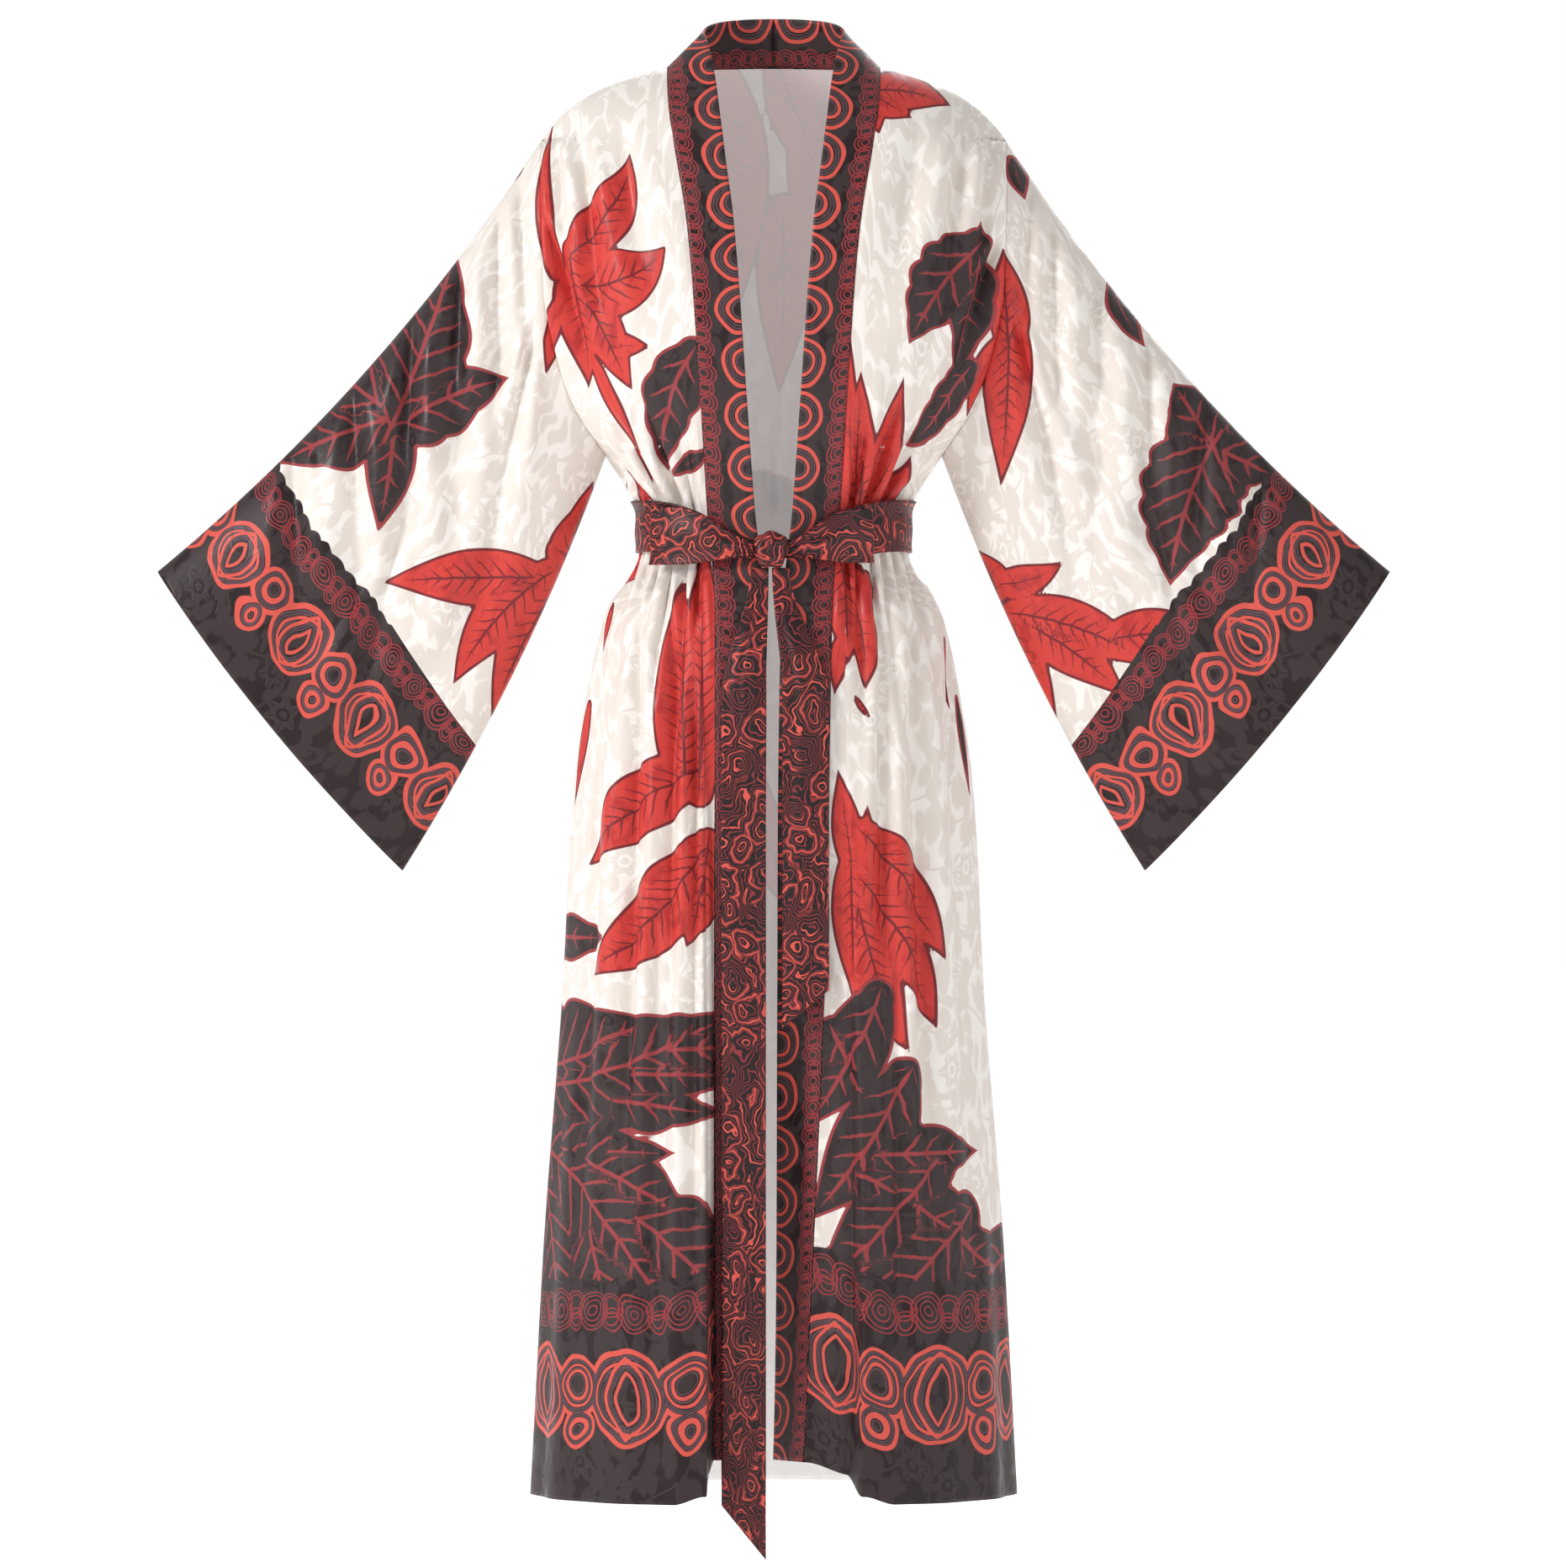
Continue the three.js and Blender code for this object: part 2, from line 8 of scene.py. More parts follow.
# %% Load the frame
import math
import bpy
import numpy as np
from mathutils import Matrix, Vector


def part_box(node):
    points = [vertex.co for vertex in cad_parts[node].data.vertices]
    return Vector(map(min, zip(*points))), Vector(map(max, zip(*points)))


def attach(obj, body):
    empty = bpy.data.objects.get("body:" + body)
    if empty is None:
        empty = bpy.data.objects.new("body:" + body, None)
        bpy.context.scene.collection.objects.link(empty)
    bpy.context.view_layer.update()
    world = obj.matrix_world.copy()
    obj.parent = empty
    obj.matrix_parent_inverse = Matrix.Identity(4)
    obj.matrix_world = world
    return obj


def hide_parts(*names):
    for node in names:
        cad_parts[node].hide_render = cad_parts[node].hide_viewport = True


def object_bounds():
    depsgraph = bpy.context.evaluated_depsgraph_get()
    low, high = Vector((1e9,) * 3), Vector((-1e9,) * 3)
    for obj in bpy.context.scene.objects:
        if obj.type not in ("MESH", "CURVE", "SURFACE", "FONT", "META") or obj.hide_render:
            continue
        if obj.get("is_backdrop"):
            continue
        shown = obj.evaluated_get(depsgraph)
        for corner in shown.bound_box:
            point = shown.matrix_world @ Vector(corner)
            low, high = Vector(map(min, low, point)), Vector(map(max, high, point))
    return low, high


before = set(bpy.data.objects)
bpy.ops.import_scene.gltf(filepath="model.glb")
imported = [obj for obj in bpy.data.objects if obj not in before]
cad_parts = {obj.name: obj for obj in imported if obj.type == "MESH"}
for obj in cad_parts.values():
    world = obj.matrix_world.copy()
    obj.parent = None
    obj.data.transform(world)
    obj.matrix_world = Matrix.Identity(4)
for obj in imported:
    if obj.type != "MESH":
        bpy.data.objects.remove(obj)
cad_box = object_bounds()
MM = 0.001
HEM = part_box("back")[0][2] / MM
print("nodes:", ", ".join(sorted(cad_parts)))
print("hem at", round(HEM), "mm")

# %% [markdown]
# The picture is taken from nine metres off, level with the middle of the robe. The camera goes in
# first, so that every later step can be judged from it. Its lens is worked out from the height that the
# picture takes in.

# %% Camera
SEEN_HEIGHT = 1.435
CAMERA_AT = (0.0085, -9.0, -0.652)
camera = bpy.data.cameras.new("camera")
camera.sensor_fit = "VERTICAL"
camera.sensor_height = 24.0
camera.lens = camera.sensor_height * -CAMERA_AT[1] / SEEN_HEIGHT
camera_object = bpy.data.objects.new("camera", camera)
camera_object.location = CAMERA_AT
camera_object.rotation_euler = (math.radians(90), 0, 0)
bpy.context.collection.objects.link(camera_object)
bpy.context.scene.camera = camera_object
print("lens", round(camera.lens, 1), "mm")

# %% [markdown]
# ## The robe's form
#
# A worn robe is a stack of rounded level sections, wide at the chest, tied in at the waist and falling
# to a full hem. It could be sculpted or simulated, but a table of sections is exact, and it is the same
# one that the solids were cut from. A small helper turns rows of sizes into named columns, and another
# reads a column at any height on a smooth curve through the rows. All sizes here are in millimetres
# until a mesh is made.

# %% Tables and curves
def table(names, rows):
    return dict(zip(names.split(), np.array(rows, float).T))


def mix(a, b, t):
    return a + (b - a) * t


def ease(a, b, t):
    q = np.clip((t - a) / (b - a), 0, 1)
    return q * q * (3 - 2 * q)


def bump(q):
    return np.exp(-q * q)


def column(rows, name, z):
    zs, values = rows["z"], rows[name]
    i = np.clip(np.searchsorted(-zs, -z) - 1, 0, len(zs) - 2)
    slopes = np.gradient(values, zs)
    inner = (values[2:] - values[:-2]) / (zs[2:] - zs[:-2])
    slopes[1:-1] = inner
    h = zs[i + 1] - zs[i]
    t = np.clip((z - zs[i]) / h, 0, 1)
    rising = t * t * (3 - 2 * t)
    start = t * (1 - t) ** 2
    end = t * t * (t - 1)
    return mix(values[i], values[i + 1], rising) + h * (start * slopes[i] + end * slopes[i + 1])


LEVELS = table("z side front back", [
    (20, 213, 60, 74), (-64, 212.5, 86, 88), (-115, 212, 101, 95), (-170, 210.5, 111, 98),
    (-224, 207, 117, 97),
    (-304, 184, 115, 93), (-351, 154, 106, 90), (-398, 125, 93, 87), (-424, 123, 92, 86),
    (-450, 125, 93, 88),
    (-494, 151, 106, 104), (-525, 161, 113, 116), (-573, 170, 120, 127), (-669, 181, 129, 140),
    (-855, 192, 141, 152), (-1076, 210, 155, 165), (-1310, 223, 170, 178),
])
FRONT_EDGE = table("z left right band", [
    (20, 97, 97, 46), (-5, 96.6, 96.6, 46), (-66, 91, 91, 45), (-130, 80.5, 80.5, 43),
    (-185, 74.5, 74.5, 42),
    (-240, 70.5, 70.5, 42), (-300, 66.5, 66.5, 42), (-405, 60, 60, 43), (-447, 56, 56, 44),
    (-500, 53, 53, 46),
    (-850, 46, 54, 46), (-1310, 27, 54, 46),
])
HAND = {"left": 1, "right": -1}
NECK_HALF, NECK_DEPTH, NECK_Z, NECK_RISE, NECK_SHARE = 97, 75, 3, 5, 0.42
SHOULDER_X, SHOULDER_SLOPE, SHOULDER_DROP, SHOULDER_TURN = 212.5, 33, 34, 66
ARM_TOP, ARM_BOTTOM, ARM_DEPTH = -64, -351, 58
ROUND = 2.3
WAIST = -424
print("sections:", len(LEVELS["z"]), "levels")

# %% [markdown]
# Each front is folded back before its band, and it shows as a deep soft edge below the sash. The fold
# is part of the section: a share of the panel's width is kept for it, and that share sinks behind the
# face towards the hem.

# %% The panels' base surface
TURN_BACK = {
    "left": {"crease": 53, "depth": 56, "rise": 36, "band": 54},
    "right": {"crease": 7, "depth": 50, "rise": 38, "band": 8},
}
FOLD_FROM, FOLD_LEAST, FOLD_SHARE, FOLD_ROUND = -470, 14, 0.16, 30


def arm_depth(z):
    middle = (ARM_TOP + ARM_BOTTOM) / 2
    c = np.clip((z - middle) / (ARM_TOP - middle), -1, 1)
    return ARM_DEPTH * np.sqrt(1 - c * c)


def section(face, inner, share, z, fold=None):
    depth = column(LEVELS, face, z)
    side = column(LEVELS, "side", z)
    reach = side / (1 - (arm_depth(z) / depth) ** 2) ** (1 / ROUND)

    def angle(x):
        return np.arcsin(np.minimum(1, (x / reach) ** (ROUND / 2)))

    if fold is None:
        turn = mix(angle(inner), angle(side), share)
    else:
        kept = mix(angle(inner), angle(fold), share / FOLD_SHARE)
        rest = mix(angle(fold), angle(side), (share - FOLD_SHARE) / (1 - FOLD_SHARE))
        turn = np.where(share < FOLD_SHARE, kept, rest)
    out = np.stack([np.sin(turn) / reach, np.cos(turn) / depth])
    return reach * np.sin(turn) ** (2 / ROUND), depth * np.cos(turn), out / np.linalg.norm(out, axis=0)


def shoulder(share, neck_share):
    round_neck = np.minimum(share / max(neck_share, 1e-9), 1) * math.pi / 2
    q = np.clip((share - neck_share) / (1 - neck_share), 0, 1) if neck_share < 1 else 0 * share
    at_neck = share < neck_share
    x = np.where(at_neck, NECK_HALF * np.sin(round_neck), mix(NECK_HALF, SHOULDER_X, q))
    y = np.where(at_neck, NECK_DEPTH * np.cos(round_neck), 0)
    z_neck = NECK_Z + NECK_RISE * np.cos(round_neck) ** 2
    z = np.where(at_neck, z_neck, NECK_Z - SHOULDER_SLOPE * q - SHOULDER_DROP * q**4)
    return x, y, z


def lowered(z):
    return ease(FOLD_FROM, HEM, z)


def fold_at(side, z):
    return column(FRONT_EDGE, side, z) + mix(FOLD_LEAST, TURN_BACK[side]["crease"], lowered(z))


def turned_back(side, share, x, z):
    fold = fold_at(side, z)
    inside = share / FOLD_SHARE
    return 0.2 * ease(fold + FOLD_ROUND, fold, x) + 0.5 * ease(1, 0.72, inside) + 0.3 * ease(0.8, 0, inside)


def panel(face, side, share, row, drawn):
    """A panel's surface. Rows 0 to 1 go over the shoulder, 1 to 2 to the underarm, 2 to 3 to the hem."""
    front = face == "front"
    top_x, top_y, top_z = shoulder(share, 0 if front else NECK_SHARE)
    turn = np.minimum(row, 1) * math.pi / 2
    z = top_z - SHOULDER_TURN * (1 - np.cos(turn))
    z = np.where(row > 1, mix(top_z - SHOULDER_TURN, ARM_BOTTOM, np.clip(row - 1, 0, 1)), z)
    z = np.where(row > 2, mix(ARM_BOTTOM, HEM, row - 2), z)
    inner = column(FRONT_EDGE, side, z) if front else 0 * z
    x, y, out = section(face, inner, share, z, fold_at(side, z) if front else None)
    arm = np.minimum(arm_depth(z), y)
    x = mix(top_x, x, 1 - np.cos(turn))
    y = mix(top_y, 0, np.sin(turn)) + mix(arm, y, np.sin(turn))
    inwards = drawn(share, z) * ease(0, 0.07, share) * ease(1, 0.95, share)
    x = x - inwards * out[0]
    y = y - inwards * out[1]
    if front:
        back = turned_back(side, share, x, z) * lowered(z)
        y = y - TURN_BACK[side]["depth"] * back
        z = z + TURN_BACK[side]["rise"] * back * lowered(z)
    y = y + 0.2
    return np.stack([HAND[side] * x, -y if front else y, z], axis=-1)


# %% [markdown]
# ## Creases
#
# Satin tied in by a sash falls in soft pleats that start sharp under the knot and die out within a hand
# or two. They could come from a cloth simulation, but then nobody could say where each one lies. Here
# every crease is a row: where it is pinched, where it fades out, how wide and how deep it is. A trough
# has a low ridge on each side, as pushed cloth does. Places are as seen from in front, in millimetres
# from the middle and from the neck.

# %% Creases, listed one by one
def crease_depth(x, z, rows):
    """How far the cloth sinks at each point, for rows of x, z, to_x, to_z, width and depth."""
    sunk = np.zeros_like(x)
    for x0, z0, x1, z1, width, depth in rows:
        run = np.hypot(x1 - x0, z1 - z0)
        ax, az = (x1 - x0) / run, (z1 - z0) / run
        along = ((x - x0) * ax + (z - z0) * az) / run
        off = (x - x0) * az - (z - z0) * ax
        wide = width * mix(0.42, 1.5, np.clip(along, 0, 1))
        trough = 1 / (1 + (off / wide) ** 2) ** 2
        shape = trough - 0.4 * bump((np.abs(off) - 2.1 * wide) / wide)
        sunk += depth * shape * ease(1.0, 0.4, along) * ease(-0.12, 0.05, along)
    return sunk


CHEST = {
    "right": [
        (-72, -404, -108, -268, 7, 10.5), (-82, -404, -140, -262, 8, 12), (-94, -404, -158, -296, 7, 10.5),
        (-104, -402, -166, -330, 6, 8), (-66, -404, -84, -300, 5, 6.5), (-112, -398, -160, -350, 5, 6.5),
        (-176, -70, -150, -330, 15, 11), (-198, -80, -186, -280, 12, 11), (-140, -40, -118, -240, 16, 7),
        (-206, -150, -150, -345, 10, 9.5),
    ],
    "left": [
        (70, -404, 92, -290, 7, 8), (82, -404, 128, -268, 8, 10.5), (95, -404, 150, -286, 7, 10.5),
        (106, -402, 166, -320, 6, 9), (112, -398, 160, -352, 5, 6.5),
        (172, -66, 146, -310, 15, 11), (196, -80, 184, -270, 12, 9.5), (134, -36, 110, -230, 16, 6.5),
        (205, -160, 146, -345, 10, 9.5),
    ],
}
SKIRT = {
    "right": [
        (-68, -444, -74, -560, 6, 9.5), (-80, -443, -92, -640, 7, 12), (-93, -441, -112, -600, 7, 11),
        (-104, -440, -128, -570, 6, 9.5), (-113, -438, -146, -580, 6, 9.5), (-120, -436, -160, -560, 6, 7),
        (-92, -520, -96, -1120, 9, 8), (-124, -540, -142, -1280, 12, 9.5), (-72, -600, -74, -1310, 8, 8),
        (-160, -560, -186, -1290, 13, 8), (-106, -780, -112, -1310, 13, 8),
    ],
    "left": [
        (66, -446, 72, -540, 5, 8), (76, -444, 84, -620, 7, 11), (88, -442, 100, -590, 6, 10.5),
        (99, -441, 118, -620, 7, 11), (108, -440, 134, -570, 6, 9.5), (117, -437, 154, -570, 6, 8),
        (98, -560, 104, -1180, 10, 8), (128, -540, 150, -1290, 13, 9.5), (162, -560, 192, -1290, 13, 8),
        (112, -820, 118, -1310, 12, 8),
    ],
}
BACK = [
    (0, -396, 6, -250, 8, 8), (24, -396, 40, -262, 8, 9.5), (-26, -396, -44, -250, 8, 9.5),
    (50, -396, 84, -270, 8, 10.5),
    (-52, -396, -82, -262, 8, 10.5), (74, -396, 116, -280, 8, 9.5), (-76, -396, -120, -290, 8, 9.5),
    (94, -398, 146, -310, 7, 8), (-96, -398, -148, -306, 7, 8), (110, -400, 160, -346, 6, 6.5),
    (-111, -400, -160, -346, 6, 6.5), (176, -60, 140, -330, 16, 11), (-178, -60, -146, -320, 16, 11),
    (198, -90, 180, -290, 12, 9.5), (-198, -90, -178, -290, 12, 9.5), (120, -30, 96, -230, 18, 6.5),
    (-116, -30, -98, -240, 18, 6.5), (60, -10, 20, -200, 20, 5.5), (-54, -10, -26, -190, 20, 5.5),
    (8, -440, 10, -640, 8, 11), (-16, -440, -20, -600, 7, 9.5), (32, -440, 40, -680, 8, 12),
    (-40, -440, -52, -660, 8, 11), (58, -440, 76, -620, 8, 11), (-64, -440, -86, -640, 8, 11),
    (82, -440, 112, -640, 8, 10.5), (-86, -440, -118, -620, 8, 10.5), (102, -440, 144, -600, 7, 9),
    (-104, -440, -146, -600, 7, 9), (30, -600, 40, -1300, 15, 10.5), (-36, -600, -44, -1290, 15, 10.5),
    (92, -580, 118, -1300, 15, 10.5), (-96, -580, -124, -1300, 15, 10.5), (148, -580, 182, -1300, 13, 8),
    (-150, -580, -184, -1300, 13, 8), (2, -800, 0, -1300, 16, 8), (66, -820, 78, -1300, 14, 8),
    (-70, -820, -84, -1300, 14, 8),
]
print("creases:", len(CHEST["left"] + CHEST["right"] + SKIRT["left"] + SKIRT["right"] + BACK))

# %% [markdown]
# ## From surface to cloth
#
# A panel is a grid of points. Thin cloth could come from a Solidify modifier, but making both faces
# here keeps the inside free to have its own finish, and lets each corner carry its place on the flat
# cloth as a UV. That flat place is measured along the grid, so a print on it isn't stretched where the
# robe turns away.

# %% Shells of cloth
CLOTH_WALL = 0.9


def unit_normals(points, closed):
    if closed:
        wide = np.concatenate([points[:, -1:], points, points[:, :1]], axis=1)
        across = (wide[:, 2:] - wide[:, :-2]) / 2
    else:
        across = np.gradient(points, axis=1)
    down = np.gradient(points, axis=0)
    normal = np.cross(across, down)
    return normal / np.maximum(np.linalg.norm(normal, axis=-1, keepdims=True), 1e-9)


def lengths(points, axis):
    step = np.linalg.norm(np.diff(points, axis=axis), axis=-1)
    pad = [(0, 0), (0, 0)]
    pad[axis] = (1, 0)
    return np.cumsum(np.pad(step, pad), axis=axis)


def shell(name, points, flat, wall, outwards, finishes, border=None, closed=False, marks=None):
    """points is rows x columns x 3 in mm, flat the place on the cut cloth, outwards a point that the
    outside turns away from, finishes the outer, inner and border materials, border a mask of rows, and
    marks extra numbers."""
    rows, cols = points.shape[:2]
    normal = unit_normals(points, closed)
    away = np.sum(normal * (points - np.array(outwards)), axis=-1).mean() > 0
    if not away:
        normal = -normal
    both = np.concatenate([
        (points + normal * wall / 2).reshape(-1, 3),
        (points - normal * wall / 2).reshape(-1, 3),
    ])
    spans = cols if closed else cols - 1
    j, i = np.meshgrid(np.arange(rows - 1), np.arange(spans), indexing="ij")
    corners = [(j, i), (j, i + 1), (j + 1, i + 1), (j + 1, i)]
    if not away:
        corners = corners[::-1]
    ids = np.stack([a * cols + b % cols for a, b in corners], axis=-1).reshape(-1, 4)
    uvs = np.stack([flat[a, b] for a, b in corners], axis=-2).reshape(-1, 4, 2)
    looks = np.zeros(len(ids), int) if border is None else np.where(border[:-1], 2, 0)[j].reshape(-1)
    quads, maps, slots = [ids], [uvs], [looks]
    quads.append(ids[:, ::-1] + rows * cols)
    maps.append(uvs[:, ::-1])
    slots.append(np.ones(len(ids), int))
    rim = []
    top, bottom = np.arange(spans), (rows - 1) * cols
    rim.append(np.stack([
        top + 0, top + rows * cols, (top + 1) % cols + rows * cols, (top + 1) % cols,
    ], axis=-1))
    rim.append(rim[0][:, ::-1] + bottom)
    if not closed:
        left = np.arange(rows - 1) * cols
        rim.append(np.stack([left, left + cols, left + cols + rows * cols, left + rows * cols], axis=-1))
        rim.append(rim[2][:, ::-1] + cols - 1)
    edges = np.concatenate(rim)
    if not away:
        edges = edges[:, ::-1]
    flat_of = np.concatenate([flat[:, :cols].reshape(-1, 2)] * 2)
    quads.append(edges)
    maps.append(flat_of[edges])
    slots.append(np.zeros(len(edges), int) if border is None else np.full(len(edges), 2))
    mesh = bpy.data.meshes.new("cloth_" + name)
    mesh.from_pydata((both * MM).tolist(), [], np.concatenate(quads).tolist())
    layer = mesh.uv_layers.new(name="cloth")
    layer.data.foreach_set("uv", (np.concatenate(maps) * MM).ravel())
    smooth = np.ones(len(mesh.polygons), bool)
    smooth[-len(edges):] = False
    mesh.polygons.foreach_set("use_smooth", smooth)
    mesh.polygons.foreach_set("material_index", np.concatenate(slots))
    for key, value in (marks or {}).items():
        made = mesh.attributes.new(key, "FLOAT_VECTOR", "POINT")
        made.data.foreach_set("vector", np.concatenate([value.reshape(-1, 3)] * 2).ravel())
    for finish in finishes:
        mesh.materials.append(finish)
    piece = bpy.data.objects.new("cloth_" + name, mesh)
    bpy.context.collection.objects.link(piece)
    outer = np.linalg.norm(np.cross(
        np.diff(points, axis=0)[:, :-1], np.diff(points, axis=1)[:-1],
    ), axis=-1).sum()
    print(f"{name}: {len(mesh.polygons)} faces, {outer * MM * MM:.4f} m2 of cloth")
    return piece


# %% [markdown]
# ## The leaf print
#
# Big red and dark leaves are printed on the ivory satin. A painted image isn't wanted here, and a
# shader formula for each leaf would be slow. So each leaf is worked out on the mesh: a lobe is a bent
# rib with a width that changes along it, and the distances to its edge, to its rib and along its veins
# are stored at every point. The shader only has to cut those distances off, which keeps the outline
# crisp between points. Rows give, in centimetres as seen, where a lobe starts and where its tip is, its
# half width, how far its rib bends, and how many scallops its edge has.

# %% Leaves on the front
RED_FRONT = [
    (-19.9, -19.0, -20.1, -4.6, 1.0, 0.9, 0), (-23.0, -8.4, -23.7, -10.2, 0.4, 0, 0),
    (-18.3, -17.0, -13.1, -7.8, 2.5, -1.2, 0), (-17.6, -20.0, -9.7, -16.5, 3.2, -1.2, 0),
    (-17.4, -21.0, -12.9, -29.6, 2.3, 0.2, 0), (-15.6, -25.4, -11.0, -25.6, 1.3, 0, 0),
    (-18.4, -17.0, -17.0, -29.4, 2.5, 0, 0), (-17.5, -25.6, -10.8, -38.6, 0.9, 0.3, 0),
    (-19.6, -21.5, -20.8, -28.1, 1.0, 0.1, 0), (-11.0, -40.2, -13.9, -36.6, 0.7, 0, 0),
    (-6.7, -66.0, -6.2, -42.0, 2.4, 0, 0), (-7.9, -65.0, -8.4, -46.6, 3.0, 0, 0),
    (-7.0, -64.0, -17.2, -72.7, 3.1, -1.1, 0), (-6.6, -71.4, -17.0, -82.6, 3.3, 0.9, 0),
    (-6.0, -70.6, -7.9, -80.0, 2.6, 0.3, 0), (-14.6, -49.0, -15.9, -53.5, 0.6, 0, 0),
    (-16.8, -58.0, -17.9, -67.5, 0.9, 0, 0),
    (-21.6, -46.4, -35.8, -46.8, 2.7, -0.2, 0), (-20.6, -46.0, -29.3, -56.2, 2.6, -0.9, 0),
    (-22.6, -48.2, -28.0, -50.9, 1.5, 0, 0), (-19.8, -47.0, -25.9, -59.2, 2.4, -0.4, 0),
    (-19.6, -46.4, -16.5, -37.4, 2.0, 0, 0), (-19.4, -44.0, -14.8, -46.0, 2.6, 0, 0),
    (8.4, -2.2, 16.2, -3.4, 2.0, 0.6, 0), (8.8, -2.4, 12.6, -4.7, 1.6, 0, 0),
    (8.6, -2.6, 9.6, -6.3, 1.3, 0, 0),
    (21.4, -22.6, 20.7, -38.2, 2.3, 0.2, 0), (21.4, -26.0, 20.8, -16.4, 2.2, 0, 0),
    (20.2, -24.6, 17.5, -32.0, 1.2, -0.3, 0),
    (6.8, -41.0, 6.9, -24.2, 1.1, 0, 0), (7.4, -39.0, 7.9, -27.8, 1.7, 0, 0),
    (8.0, -39.0, 11.8, -28.3, 1.5, -0.5, 0),
    (8.2, -40.0, 11.5, -32.4, 1.3, -0.5, 0), (8.6, -41.0, 12.5, -35.2, 1.1, -0.5, 0),
    (7.4, -43.0, 8.4, -34.0, 2.6, 0, 0), (6.0, -44.0, 6.7, -54.6, 2.3, 0.2, 0),
    (7.6, -48.6, 8.4, -56.8, 1.4, 0.3, 0),
    (6.0, -52.0, 5.5, -57.2, 0.9, 0, 0), (8.3, -46.2, 8.2, -50.4, 0.8, 0.2, 0),
    (7.4, -57.4, 8.8, -59.4, 0.4, 0, 0),
    (8.0, -69.6, 15.3, -81.4, 2.5, 0.9, 0), (8.0, -74.0, 14.8, -87.5, 2.7, 0.9, 0),
    (7.5, -76.0, 12.2, -89.6, 2.6, -0.4, 0), (7.0, -72.0, 7.4, -85.2, 2.0, 0, 0),
    (7.2, -73.0, 5.8, -63.8, 1.5, 0, 0), (8.3, -72.6, 8.4, -67.0, 0.9, 0, 0),
    (15.4, -52.0, 16.6, -58.6, 0.5, 0, 0),
    (20.0, -46.9, 26.5, -44.8, 1.6, -0.7, 0), (20.6, -47.8, 18.8, -43.8, 1.6, 0, 0),
    (22.0, -49.6, 35.0, -54.8, 2.5, 0.9, 0), (30.6, -52.0, 41.0, -51.4, 2.4, 0.3, 0),
    (22.8, -50.4, 32.4, -57.5, 2.3, 0.5, 0), (21.8, -50.2, 26.2, -60.6, 1.7, -0.2, 0),
]
DARK_FRONT = [
    (-7.4, -26.2, -9.7, -37.1, 2.9, -1.1, 4), (-6.5, -35.4, -9.3, -37.2, 1.0, 0, 0),
    (-20.6, -79.2, -14.7, -79.1, 2.3, 0, 3), (-20.7, -78.6, -19.0, -85.8, 2.0, 0, 0),
    (-21.2, -91.8, -11.2, -86.2, 5.6, 0, 3), (-20.8, -93.0, -3.2, -85.4, 5.4, -0.7, 5),
    (-20.4, -91.6, -2.0, -91.6, 4.6, 0.2, 4), (-14.0, -89.4, -1.0, -88.8, 3.4, 0, 3),
    (-16.0, -93.6, -4.6, -95.0, 2.8, 0, 3), (-19.0, -98.5, -8.6, -98.5, 2.6, 0, 3),
    (-20.3, -98.0, -6.2, -105.8, 4.9, 0.6, 6), (-20.4, -98.4, -8.4, -115.0, 6.6, 0.5, 6),
    (-20.8, -98.0, -19.0, -120.0, 5.2, 0, 5), (-17.0, -104.0, -13.0, -122.0, 5.4, 0, 4),
    (-13.0, -104.0, -2.6, -114.0, 5.0, 0.6, 5),
    (-35.2, -33.4, -29.0, -16.2, 4.8, -0.4, 4), (-34.6, -32.8, -24.0, -28.2, 3.6, 0.6, 3),
    (-34.6, -31.6, -36.1, -42.4, 2.4, 0.3, 0), (-34.6, -31.8, -45.4, -36.0, 3.6, -0.4, 3),
    (-35.4, -31.0, -41.6, -26.4, 4.2, 0, 0),
    (18.4, -16.6, 12.2, -25.4, 3.7, -0.5, 5), (18.7, -17.0, 16.6, -28.8, 2.5, 0.2, 3),
    (17.9, -27.4, 11.9, -35.1, 1.9, 0.2, 4), (18.2, -18.2, 19.1, -13.9, 1.4, 0, 0),
    (21.8, -8.4, 22.9, -12.0, 1.1, 0, 0), (31.0, -19.6, 34.0, -25.4, 1.3, -0.4, 2),
    (40.6, -33.4, 36.2, -47.2, 4.9, -0.9, 6), (40.0, -34.4, 46.0, -37.2, 3.4, 0, 3),
    (40.4, -34.8, 36.4, -28.6, 3.4, 0, 3), (16.8, -57.4, 17.8, -67.0, 0.7, 0, 0),
    (6.6, -98.7, 18.8, -98.5, 3.2, 0, 4), (6.4, -99.8, 21.6, -111.0, 3.4, 1.1, 6),
    (14.8, -105.0, 23.0, -112.6, 3.0, 0.4, 3), (4.4, -108.9, 18.8, -112.4, 3.4, 0.3, 4),
    (5.4, -87.6, 8.4, -94.0, 3.0, 0, 4), (9.4, -84.6, 2.8, -96.4, 3.4, 0.5, 0),
    (11.8, -92.0, 3.0, -104.8, 3.8, 0.6, 0),
    (14.6, -99.6, 3.2, -111.6, 4.2, 0.5, 0), (17.4, -104.6, 4.2, -118.0, 4.6, 0.4, 0),
    (22.6, -106.4, 9.6, -119.0, 3.4, 0.4, 0),
]

# %% [markdown]
# The back carries the same family of leaves in an arrangement of its own. Through the open neck its
# reverse shows one big red leaf as a pale ghost, so that one comes first.

